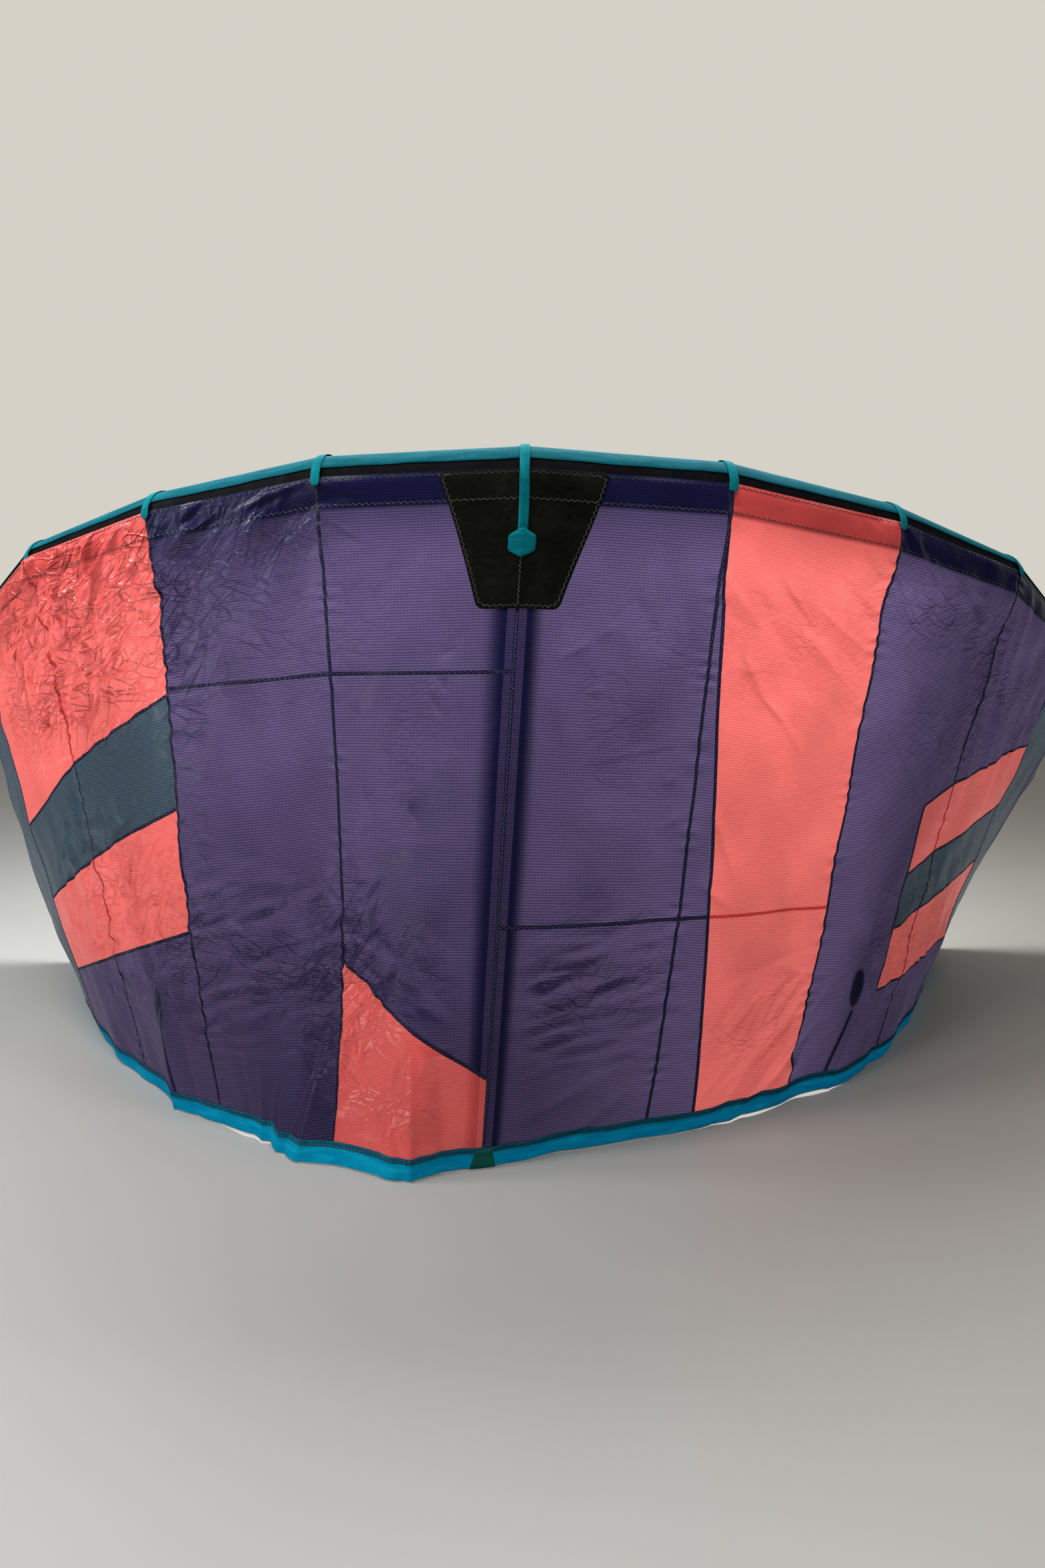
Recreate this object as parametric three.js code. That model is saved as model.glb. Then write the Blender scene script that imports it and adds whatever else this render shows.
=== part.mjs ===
// An inflatable kitesurfing kite that stands on its trailing edge with the leading edge up.
// Millimetres. X runs along the span, Y from the outer face into the arch, Z up.
// A place on the kite is given by a station s along the span, which is a whole number at each
// panel seam from -6 at the left tip to 6 at the right, and a level v down the chord: -1 at the
// canopy's upper edge, 0 where it leaves the tube, 1 on the floor.
import * as THREE from "three";

// Cloth, tapes and the gaps between pieces
const CLOTH = 2;
const TAPE = 1.5;
const BINDING = 3;
const GAP = 0.3;
const TUBE_GAP = 0.8; // round the tube, whose facets twist a little between seams
const TRIM_GAP = 1.4; // under trim that crosses the facets of the cloth below it

// Leading edge tube
const SEAMS = 6; // seams from the centre to a tip
const SEGMENT = 478; // length of one straight stretch
const TUBE_SIDES = 20;
const TUBE_PLACE = { x: 10, y: 257 }; // axis at the centre seam
const TUBE_ROLL = THREE.MathUtils.degToRad(1.25); // the right side stands lower
const CANOPY_EDGE = 18; // angles round the tube, in degrees above the outward level
const CANOPY_SEAM = -36;
// Rings that round off an end: reach past it and width, both in radii
const TIP_ROUNDING = [
  { reach: 0.35, width: 0.9 },
  { reach: 0.6, width: 0.62 },
];

// A row for each seam from the centre to a tip: heading in plan of the tube that starts there,
// in degrees; height of the tube's top; tube radius.
const LEADING_EDGE = [
  { heading: 6.7, top: 1705, radius: 82 },
  { heading: 20.1, top: 1680, radius: 80 },
  { heading: 31, top: 1600, radius: 74 },
  { heading: 46, top: 1482, radius: 64 },
  { heading: 65, top: 1285, radius: 54 },
  { heading: 80, top: 1040, radius: 45 },
  { heading: 80, top: 765, radius: 36 },
];

// A row for each seam from the left tip to the right: where the hem stands on the floor, how far
// the seam bows out of the straight chord, and how far the panel to its right swells out.
const TRAILING_EDGE = [
  { x: -1640, y: 1680, bow: 0, swell: 6 },
  { x: -1480, y: 1275, bow: 25, swell: 9 },
  { x: -1300, y: 890, bow: 22, swell: 5 },
  { x: -1058, y: 547, bow: 15, swell: 10 },
  { x: -790, y: 251, bow: 25, swell: 6 },
  { x: -470, y: 32, bow: -90, swell: 8 },
  { x: -106, y: 19, bow: 20, swell: 5 },
  { x: 298, y: 165, bow: 25, swell: 9 },
  { x: 703, y: 370, bow: 5, swell: 7 },
  { x: 1012, y: 648, bow: 0, swell: 8 },
  { x: 1228, y: 1000, bow: -12, swell: 4 },
  { x: 1385, y: 1390, bow: -15, swell: 4 },
  { x: 1534, y: 1785, bow: 0, swell: 0 },
];
const BOW_SKEW = 1.4; // over 1 moves the bow down the chord

// Main folds of the cloth: station at the hem, how far it leans along the span by the top of the
// chord, half width in panels, level where it starts, and depth outwards at the hem.
const FOLDS = [
  { at: -3.45, lean: -0.2, width: 0.22, from: 0.55, depth: 12 },
  { at: -2.42, lean: 0.1, width: 0.16, from: 0.6, depth: 20 },
  { at: -1.95, lean: 0.2, width: 0.2, from: 0.5, depth: -14 },
  { at: -1.6, lean: 0.5, width: 0.15, from: 0.55, depth: -18 },
  { at: -1.25, lean: 0.4, width: 0.14, from: 0.6, depth: 14 },
  { at: -0.5, lean: 0.2, width: 0.26, from: 0.45, depth: 56 },
  { at: 0.55, lean: -0.3, width: 0.25, from: 0.5, depth: -14 },
  { at: 1.4, lean: 0.3, width: 0.3, from: 0.45, depth: 12 },
  { at: 2.1, lean: 0.1, width: 0.15, from: 0.65, depth: -14 },
  { at: 2.5, lean: 0.2, width: 0.18, from: 0.6, depth: 14 },
  { at: 3.6, lean: 0.3, width: 0.25, from: 0.5, depth: -10 },
];

// Stretches where the hem stands off the floor: station, half width in panels, height.
const HEM_LIFTS = [
  { at: -1.75, width: 0.2, height: 6 },
  { at: 1.7, width: 0.22, height: 8 },
  { at: 2.25, width: 0.16, height: 12 },
];
const HEM = 55; // height of the binding
const HEM_PITCH = 400; // about one panel's width along the hem
const HEM_UPRIGHT = { from: 0.82, to: 0.92 }; // levels over which the cloth's edge turns upright
const NORMAL_STEP = { s: 0.03, t: 0.015 }; // span and chord over which the cloth's slope is taken

// Rows and columns of the sheets
const PANEL_COLUMNS = 8;
const PANEL_ROWS = 13;
const WRAP_LEVELS = [-1, -2 / 3, -1 / 3, 0];

// Struts: stations at the leading edge and at the hem, radii at the head and the tail, how far the
// head stays under the tube, which slopes across it in the wings, and the tail's height
const STRUTS = [
  { name: "left", from: -2.95, to: -2.42, head: 56, tail: 34, under: 20, rest: 205 },
  { name: "centre", from: 0, to: 0, head: 60, tail: 34, under: 8, rest: 70 },
  { name: "right", from: 2.95, to: 2.42, head: 56, tail: 34, under: 20, rest: 205 },
];
const STRUT_SIDES = 10;
const STRUT_ROWS = 11;
const STRUT_CLEAR = 2; // between a strut and the cloth it carries
const STRUT_STEP = 0.02; // part of the chord over which a strut's direction is taken
const STRUT_END = [
  { reach: 0.4, width: 0.92 },
  { reach: 0.8, width: 0.7 },
  { reach: 1.2, width: 0.35 },
];

// Straps, patches and tapes
const STRAP_WIDTH = 22;
const STRAP_ANGLES = [108, 90, 72, 54, 36, 18, 4];
const CENTRE_STRAP_LEVELS = [-2 / 3, -1 / 3, 0, 0.03, 0.06];
const EDGE_TAPE_ANGLES = [72, 54, 36];
const PATCH = { top: 184, bottom: 92, from: -0.97, to: 0.157, columns: 6 }; // half widths, levels
const PATCH_ROWS = 5;
const TAB = { radius: 34, level: 0.058 };
const STRAP_OFF = 2 * TRIM_GAP + TAPE; // the centre strap lies on the patch, and the tab on it
const TAB_OFF = 3 * TRIM_GAP + 2 * TAPE;
const TIP_TAPE_WIDTH = 32;
const TIP_TAPE_ROWS = 10;
const HEM_PATCH = { top: 23, bottom: 37, height: 46, lift: 2, columns: 4 }; // half widths

const COLOURS = {
  violet: 0x554d6f,
  coral: 0xe66d65,
  slate: 0x3e4758,
  teal: 0x016481,
  black: 0x23241f,
  green: 0x12594a,
};

const ROUGHNESS = { cloth: 0.55, tape: 0.5, coated: 0.6 };

// Colour of each panel from the left tip to the right
const PANEL_COLOURS = [
  ...["violet", "slate", "coral", "coral", "violet", "violet"],
  ...["violet", "coral", "violet", "coral", "slate", "violet"],
];

const UP = new THREE.Vector3(0, 0, 1);

// A value of the leading edge table between its rows, the same on both sides
function alongTable(column, s) {
  const at = Math.min(Math.abs(s), SEAMS);
  const row = Math.min(Math.floor(at), SEAMS - 1);
  const a = LEADING_EDGE[row][column];
  const b = LEADING_EDGE[row + 1][column];
  return THREE.MathUtils.lerp(a, b, at - row);
}

// The tube's axis at each seam, from the left tip to the right
function tubeAxis() {
  const axis = [];
  for (const side of [-1, 1]) {
    const at = { ...TUBE_PLACE };
    LEADING_EDGE.forEach((row, i) => {
      const height = row.top - row.radius;
      const rolled = height - at.x * Math.tan(TUBE_ROLL);
      axis[SEAMS + side * i] = new THREE.Vector3(at.x, at.y, rolled);
      const next = LEADING_EDGE[i + 1];
      if (!next) return;
      const drop = height - (next.top - next.radius);
      const run = Math.sqrt(SEGMENT ** 2 - drop ** 2);
      const heading = THREE.MathUtils.degToRad(row.heading);
      at.x += side * run * Math.cos(heading);
      at.y += run * Math.sin(heading);
    });
  }
  return axis;
}

// The mitre at each seam: the tube's directions outward, stretched by the mitre, and upward
function tubeFrames(axis) {
  return axis.map((place, k) => {
    const before = place.clone().sub(axis[Math.max(k - 1, 0)]).normalize();
    const after = axis[Math.min(k + 1, 2 * SEAMS)].clone().sub(place).normalize();
    const along = before.clone().add(after).normalize();
    const up = UP.clone().addScaledVector(along, -UP.dot(along)).normalize();
    const half = Math.max(along.dot(before), along.dot(after));
    const out = along.clone().cross(up).divideScalar(half);
    return { place, along, up, out };
  });
}

const FRAMES = tubeFrames(tubeAxis());

// A point at an angle round the tube, some way off its surface
function onTube(s, degrees, off) {
  const angle = THREE.MathUtils.degToRad(degrees);
  const at = THREE.MathUtils.clamp(s + SEAMS, 0, 2 * SEAMS);
  const k = Math.min(Math.floor(at), 2 * SEAMS - 1);
  const [a, b] = [k, k + 1].map((seam) => {
    const { place, up, out } = FRAMES[seam];
    const reach = LEADING_EDGE[Math.abs(seam - SEAMS)].radius + off;
    return place
      .clone()
      .addScaledVector(out, reach * Math.cos(angle))
      .addScaledVector(up, reach * Math.sin(angle));
  });
  return a.lerp(b, at - k);
}

// The tube's outward direction, level, at a station
function tubeOutward(s) {
  const out = onTube(s, 0, 1).sub(onTube(s, 0, 0));
  return out.setZ(0).normalize();
}

// Smooth curves through the trailing edge table: the hem on the floor, and the bow as a height
const HEM_CURVE = curveThrough(({ x, y }) => new THREE.Vector3(x, y, 0));
const BOW_CURVE = curveThrough(({ bow }, i) => new THREE.Vector3(i, 0, bow));

function curveThrough(place) {
  return new THREE.CatmullRomCurve3(TRAILING_EDGE.map(place), false, "catmullrom");
}

function hemPlace(s) {
  const u = THREE.MathUtils.clamp((s + SEAMS) / (2 * SEAMS), 0, 1);
  return {
    point: HEM_CURVE.getPoint(u),
    out: HEM_CURVE.getTangent(u).cross(UP),
    bow: BOW_CURVE.getPoint(u).z,
  };
}

function bump(s, { at, width }) {
  return Math.exp(-(((s - at) / width) ** 2));
}

function hemLift(s) {
  return HEM_LIFTS.reduce((sum, lift) => sum + lift.height * bump(s, lift), 0);
}

// How far the folds push the cloth out
function foldDepth(s, t) {
  return FOLDS.reduce((sum, { at, lean, width, from, depth }) => {
    const crest = { at: at + lean * (1 - t), width };
    return sum + depth * THREE.MathUtils.smoothstep(t, from, 1) * bump(s, crest);
  }, 0);
}

// How far a panel swells out between its seams
function swell(s, t) {
  const at = THREE.MathUtils.clamp(s + SEAMS, 0, 2 * SEAMS);
  const k = Math.min(Math.floor(at), 2 * SEAMS - 1);
  return TRAILING_EDGE[k].swell * Math.sin(Math.PI * (at - k)) * Math.sin(Math.PI * t);
}

// The canopy's outer face below the tube, at level t from 0 to 1
function canopy(s, t) {
  const top = onTube(s, CANOPY_SEAM, TUBE_GAP + CLOTH);
  const hem = hemPlace(s);
  const foot = hem.point.setZ(hemLift(s));
  const out = tubeOutward(s).lerp(hem.out, t).normalize();
  const bow = hem.bow * Math.sin(Math.PI * t ** BOW_SKEW);
  return top.lerp(foot, t).addScaledVector(out, bow + swell(s, t) + foldDepth(s, t));
}

// The canopy's outward normal, level where the cloth meets the binding
function canopyNormal(s, t) {
  const [left, right] = [Math.max(s - NORMAL_STEP.s, -SEAMS), Math.min(s + NORMAL_STEP.s, SEAMS)];
  const [above, below] = [Math.max(t - NORMAL_STEP.t, 0), Math.min(t + NORMAL_STEP.t, 1)];
  const across = canopy(right, t).sub(canopy(left, t));
  const down = canopy(s, below).sub(canopy(s, above));
  const normal = down.cross(across).normalize();
  normal.z *= 1 - THREE.MathUtils.smoothstep(t, HEM_UPRIGHT.from, HEM_UPRIGHT.to);
  return normal.normalize();
}

// A point some way off the canopy's outer face, on the tube and below it
function skin(s, v, off) {
  if (v <= 0) {
    const angle = THREE.MathUtils.mapLinear(v, -1, 0, CANOPY_EDGE, CANOPY_SEAM);
    return onTube(s, angle, TUBE_GAP + CLOTH + off);
  }
  return canopy(s, v).addScaledVector(canopyNormal(s, v), off);
}

// Height of the seam where the canopy leaves the tube
function seamHeight(s) {
  return onTube(s, CANOPY_SEAM, 0).z;
}

// Length of cloth from the canopy's upper edge down to a level
function chordLength(s, v) {
  const wrap = THREE.MathUtils.degToRad(CANOPY_EDGE - CANOPY_SEAM) * alongTable("radius", s);
  return v <= 0 ? (v + 1) * wrap : wrap + v * seamHeight(s);
}

function hemTop(s) {
  return 1 - HEM / seamHeight(s);
}

// Evenly spaced numbers from a to b, both ends included
function spread(a, b, steps) {
  return Array.from({ length: steps + 1 }, (_, k) => THREE.MathUtils.lerp(a, b, k / steps));
}

function solidOf(points, faces) {
  const geometry = new THREE.BufferGeometry().setFromPoints(points);
  geometry.setIndex(faces);
  geometry.computeVertexNormals();
  return geometry;
}

// A sheet from two grids of points, its outer and inner faces, with rows running downwards
function sheet(outer, inner) {
  const rows = outer.length;
  const columns = outer[0].length;
  const count = rows * columns;
  const faces = [];
  const quad = (a, b, c, d) => faces.push(a, b, c, a, c, d);
  for (let j = 0; j < rows - 1; j++) {
    for (let i = 0; i < columns - 1; i++) {
      const a = j * columns + i;
      const c = a + columns;
      quad(a, c, c + 1, a + 1);
      quad(count + a, count + a + 1, count + c + 1, count + c);
    }
    const left = j * columns;
    const right = left + columns - 1;
    quad(left, left + count, left + columns + count, left + columns);
    quad(right, right + columns, right + columns + count, right + count);
  }
  for (let i = 0; i < columns - 1; i++) {
    const low = (rows - 1) * columns + i;
    quad(i, i + 1, i + 1 + count, i + count);
    quad(low, low + count, low + 1 + count, low + 1);
  }
  return solidOf([...outer.flat(), ...inner.flat()], faces);
}

// A closed solid through rings of points, each ring turning the same way
function loft(rings) {
  const sides = rings[0].length;
  const faces = [];
  for (let j = 0; j < rings.length - 1; j++) {
    for (let i = 0; i < sides; i++) {
      const a = j * sides + i;
      const b = j * sides + ((i + 1) % sides);
      faces.push(a, b, b + sides, a, b + sides, a + sides);
    }
  }
  const last = (rings.length - 1) * sides;
  for (let i = 1; i < sides - 1; i++) {
    faces.push(0, i + 1, i);
    faces.push(last, last + i, last + i + 1);
  }
  return solidOf(rings.flat(), faces);
}

const kite = new THREE.Group();

function add(name, geometry, colour, roughness) {
  const material = new THREE.MeshStandardMaterial({ color: colour, roughness, metalness: 0 });
  const mesh = new THREE.Mesh(geometry, material);
  mesh.name = name;
  kite.add(mesh);
}

// The stations of one panel's columns, held back from its seams by half a gap
function panelStations(panel, columns) {
  const start = panel - SEAMS;
  const inset = GAP / 2 / HEM_PITCH;
  return spread(start + inset, start + 1 - inset, columns);
}

// Levels down the cloth at a station, from its upper edge to the binding
function clothLevels(s, rows) {
  return [...WRAP_LEVELS, ...spread(0, hemTop(s), rows).slice(1)];
}

function addPanels() {
  PANEL_COLOURS.forEach((colour, panel) => {
    const stations = panelStations(panel, PANEL_COLUMNS);
    const columns = stations.map((s) => clothLevels(s, PANEL_ROWS));
    const face = (off) => columns[0].map((_, j) => stations.map((s, i) => skin(s, columns[i][j], off)));
    add(`panel_${panel + 1}`, sheet(face(0), face(-CLOTH)), COLOURS[colour], ROUGHNESS.cloth);
  });
}

function addBinding() {
  for (let panel = 0; panel < 2 * SEAMS; panel++) {
    const stations = panelStations(panel, PANEL_COLUMNS);
    const proud = (BINDING - CLOTH) / 2;
    const columns = stations.map((s) => spread(hemTop(s) + GAP / seamHeight(s), 1, 2));
    const face = (off) => columns[0].map((_, j) => stations.map((s, i) => skin(s, columns[i][j], off)));
    add(`binding_${panel + 1}`, sheet(face(proud), face(proud - BINDING)), COLOURS.teal, ROUGHNESS.tape);
  }
}

function tubeRing(s) {
  return Array.from({ length: TUBE_SIDES }, (_, k) => {
    return onTube(s, CANOPY_EDGE - (360 * k) / TUBE_SIDES, 0);
  });
}

// The rings that round the tube off past a tip
function tipRings(side) {
  const { place, along } = FRAMES[side < 0 ? 0 : 2 * SEAMS];
  const radius = LEADING_EDGE[SEAMS].radius;
  return TIP_ROUNDING.map(({ reach, width }) => {
    const push = along.clone().multiplyScalar(side * reach * radius);
    return tubeRing(side * SEAMS).map((p) => p.sub(place).multiplyScalar(width).add(place).add(push));
  });
}

function addTube() {
  for (let panel = 0; panel < 2 * SEAMS; panel++) {
    const [start, end] = panelStations(panel, 1);
    const rings = [tubeRing(start), tubeRing(end)];
    if (panel === 0) rings.unshift(...tipRings(-1).reverse());
    if (panel === 2 * SEAMS - 1) rings.push(...tipRings(1));
    add(`tube_${panel + 1}`, loft(rings), COLOURS.black, ROUGHNESS.coated);
  }
}

function addEdgeTape() {
  const stations = spread(-SEAMS, SEAMS, 2 * SEAMS);
  const face = (off) => EDGE_TAPE_ANGLES.map((angle) => stations.map((s) => onTube(s, angle, off)));
  add("edge_tape", sheet(face(TUBE_GAP + TAPE), face(TUBE_GAP)), COLOURS.teal, ROUGHNESS.tape);
}

// A strap over the tube at each seam; the centre one runs on down the patch to the tab
function addStraps() {
  const half = STRAP_WIDTH / 2 / SEGMENT;
  for (let seam = 1 - SEAMS; seam < SEAMS; seam++) {
    const stations = [seam - half, seam, seam + half];
    const centre = seam === 0;
    const under = centre ? STRAP_OFF : GAP;
    const face = (off) => {
      const round = TUBE_GAP + CLOTH + off;
      const rows = STRAP_ANGLES.map((angle) => stations.map((s) => onTube(s, angle, round)));
      if (!centre) return rows;
      const more = CENTRE_STRAP_LEVELS.map((v) => stations.map((s) => skin(s, v, off)));
      return [...rows.slice(0, -1), ...more];
    };
    add(`strap_${seam + SEAMS}`, sheet(face(under + TAPE), face(under)), COLOURS.teal, ROUGHNESS.tape);
  }
}

function addCentrePatch() {
  const { top, bottom, from, to, columns } = PATCH;
  const rows = [from, ...WRAP_LEVELS.slice(1), ...spread(0, to, PATCH_ROWS).slice(1)];
  const [start, end] = [chordLength(0, from), chordLength(0, to)];
  const face = (off) => {
    return rows.map((v) => {
      const half = THREE.MathUtils.mapLinear(chordLength(0, v), start, end, top, bottom) / SEGMENT;
      return spread(-half, half, columns).map((s) => skin(s, v, off));
    });
  };
  const geometry = sheet(face(TRIM_GAP + TAPE), face(TRIM_GAP));
  add("centre_patch", geometry, COLOURS.black, ROUGHNESS.coated);
}

// A six-sided tab on the end of the centre strap, bent over the ridge of the centre seam
function addCentreTab() {
  const { radius, level } = TAB;
  const chord = seamHeight(0);
  const rows = [-1, 0, 1].map((side) => ({
    v: level + (side * radius * Math.sqrt(0.75)) / chord,
    half: (side === 0 ? radius : radius / 2) / SEGMENT,
  }));
  const face = (off) => rows.map(({ v, half }) => [-half, 0, half].map((s) => skin(s, v, off)));
  add("centre_tab", sheet(face(TAB_OFF + TAPE), face(TAB_OFF)), COLOURS.teal, ROUGHNESS.tape);
}

function addTipTapes() {
  const inset = TIP_TAPE_WIDTH / SEGMENT;
  for (const [name, side] of [["left", -1], ["right", 1]]) {
    const tip = side * SEAMS;
    const stations = side < 0 ? [tip, tip + inset] : [tip - inset, tip];
    const rows = clothLevels(tip, TIP_TAPE_ROWS);
    const face = (off) => rows.map((v) => stations.map((s) => skin(s, v, off)));
    const geometry = sheet(face(TRIM_GAP + TAPE), face(TRIM_GAP));
    add(`tip_tape_${name}`, geometry, COLOURS.black, ROUGHNESS.coated);
  }
}

function addHemPatch() {
  const { top, bottom, height, lift, columns } = HEM_PATCH;
  const face = (off) => {
    return spread(height, lift, 2).map((z) => {
      const half = THREE.MathUtils.mapLinear(z, height, lift, top, bottom) / HEM_PITCH;
      return spread(-half, half, columns).map((s) => skin(s, 1 - z / seamHeight(0), off));
    });
  };
  add("hem_patch", sheet(face(TRIM_GAP + TAPE), face(TRIM_GAP)), COLOURS.green, ROUGHNESS.tape);
}

// A strut on the inner side of the cloth, from under the tube to its rounded tail
function addStruts() {
  for (const { name, from, to, head, tail, under, rest } of STRUTS) {
    const chord = seamHeight(from);
    const seam = THREE.MathUtils.degToRad(CANOPY_SEAM);
    const underside = alongTable("radius", from) * (1 + Math.sin(seam));
    const start = (underside + under) / chord;
    const end = 1 - rest / chord;
    const ring = (t, width) => {
      const s = THREE.MathUtils.lerp(from, to, t);
      const ahead = THREE.MathUtils.lerp(from, to, t + STRUT_STEP);
      const down = canopy(ahead, t + STRUT_STEP).sub(canopy(s, t));
      const normal = canopyNormal(s, t);
      const across = down.cross(normal).normalize();
      const radius = THREE.MathUtils.mapLinear(t, start, end, head, tail);
      const centre = canopy(s, t).addScaledVector(normal, -CLOTH - STRUT_CLEAR - radius);
      return Array.from({ length: STRUT_SIDES }, (_, k) => {
        const angle = (2 * Math.PI * k) / STRUT_SIDES;
        return centre
          .clone()
          .addScaledVector(normal, width * radius * Math.cos(angle))
          .addScaledVector(across, width * radius * Math.sin(angle));
      });
    };
    const rings = spread(start, end, STRUT_ROWS).map((t) => ring(t, 1));
    STRUT_END.forEach(({ reach, width }) => rings.push(ring(end + (reach * tail) / chord, width)));
    add(`strut_${name}`, loft(rings), COLOURS.violet, ROUGHNESS.coated);
  }
}

addTube();
addEdgeTape();
addPanels();
addBinding();
addStruts();
addStraps();
addCentrePatch();
addCentreTab();
addTipTapes();
addHemPatch();

// The part's origin is on the floor, at the middle of the kite's box
const box = new THREE.Box3().setFromObject(kite);
const middle = box.getCenter(new THREE.Vector3());
kite.position.set(-middle.x, -middle.y, -box.min.z);

const part = new THREE.Group();
part.add(kite);

export default part;
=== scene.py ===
"""A kitesurfing kite standing on its trailing edge: its cloth, tapes and sewing, and the stage it stands on.

Lengths are in metres. A place on the kite is a station s along the span, a whole number at each panel seam
from -6 at the left tip to 6 at the right, and a level v down the chord: -1 at the canopy's upper edge on the
tube, 0 at the seam under the tube and 1 on the floor. Laid flat, a place is (x, y) in metres, right of the
centre seam and down from the seam under the tube.
"""
import math

import bmesh
import bpy
import numpy as np
from mathutils import Matrix, Vector
from mathutils.geometry import delaunay_2d_cdt


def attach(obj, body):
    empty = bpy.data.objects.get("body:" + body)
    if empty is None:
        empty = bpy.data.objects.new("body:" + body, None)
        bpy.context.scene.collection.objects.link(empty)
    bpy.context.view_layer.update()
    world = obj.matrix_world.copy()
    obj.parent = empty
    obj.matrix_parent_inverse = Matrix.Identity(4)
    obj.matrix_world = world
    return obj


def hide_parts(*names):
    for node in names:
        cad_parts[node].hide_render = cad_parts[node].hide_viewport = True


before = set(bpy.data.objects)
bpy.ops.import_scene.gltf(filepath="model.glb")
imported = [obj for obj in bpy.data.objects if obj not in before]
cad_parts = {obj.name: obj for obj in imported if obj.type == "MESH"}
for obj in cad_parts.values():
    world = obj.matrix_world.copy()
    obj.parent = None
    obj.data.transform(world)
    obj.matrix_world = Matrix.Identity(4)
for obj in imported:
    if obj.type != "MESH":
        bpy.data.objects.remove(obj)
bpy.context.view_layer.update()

# The kite's lines. ORIGIN is the part's origin in the frame of these tables.
ORIGIN = np.array([0.010, 0.88791, 0.0])
UP = np.array([0.0, 0.0, 1.0])
SEAMS = 6  # seams from the centre to a tip
SEGMENT = 0.478  # one straight stretch of tube
TUBE_PLACE = (0.010, 0.257)  # the tube's axis at the centre seam
TUBE_ROLL = math.radians(1.25)
CANOPY_EDGE = math.radians(18)  # angles round the tube, above the outward level
CANOPY_SEAM = math.radians(-36)
CLOTH_OFF = 0.0028  # the canopy's outer face above the tube
BOW_SKEW = 1.4
LEAVE = -2 / 3  # level at which the cloth leaves the tube, straight down
SETTLE = 0.12  # level from which it hangs as the chord does
LEADING_EDGE = {  # at each seam from the centre to a tip
    "heading": (6.7, 20.1, 31, 46, 65, 80, 80),
    "top": (1.705, 1.680, 1.600, 1.482, 1.285, 1.040, 0.765),
    "radius": (0.082, 0.080, 0.074, 0.064, 0.054, 0.045, 0.036),
}
TRAILING_EDGE = {  # at each seam from the left tip to the right
    "x": (-1.640, -1.480, -1.300, -1.058, -0.790, -0.470, -0.106, 0.298, 0.703, 1.012, 1.228, 1.385, 1.534),
    "y": (1.680, 1.275, 0.890, 0.547, 0.251, 0.032, 0.019, 0.165, 0.370, 0.648, 1.000, 1.390, 1.785),
    "bow": (0, 0.025, 0.022, 0.015, 0.025, -0.090, 0.020, 0.025, 0.005, 0, -0.012, -0.015, 0),
    "swell": (0.006, 0.009, 0.005, 0.010, 0.006, 0.008, 0.005, 0.009, 0.007, 0.008, 0.004, 0.004, 0),
}
# Main folds: station at the hem, lean by the top, half width in panels, starting level, depth at the hem.
FOLDS = [
    (-3.45, -0.2, 0.22, 0.55, 0.012),
    (-2.42, 0.1, 0.16, 0.60, 0.020),
    (-1.95, 0.2, 0.20, 0.50, -0.014),
    (-1.60, 0.5, 0.15, 0.55, -0.018),
    (-1.25, 0.4, 0.14, 0.60, 0.014),
    (-0.50, 0.2, 0.26, 0.45, 0.056),
    (0.55, -0.3, 0.25, 0.50, -0.014),
    (1.40, 0.3, 0.30, 0.45, 0.012),
    (2.10, 0.1, 0.15, 0.65, -0.014),
    (2.50, 0.2, 0.18, 0.60, 0.014),
    (3.60, 0.3, 0.25, 0.50, -0.010),
]
HEM_LIFTS = [(-1.75, 0.20, 0.006), (1.70, 0.22, 0.006), (2.25, 0.16, 0.008)]  # station, half width, height

# One unit of station and of level, above and below the seam under the tube, laid flat.
PANEL, WRAP, CHORD = 0.45, 0.08, 1.45
# How much of the curve off the tube is above that seam.
LEAVE_SHARE = LEAVE * WRAP / (LEAVE * WRAP - SETTLE * CHORD)

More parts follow.
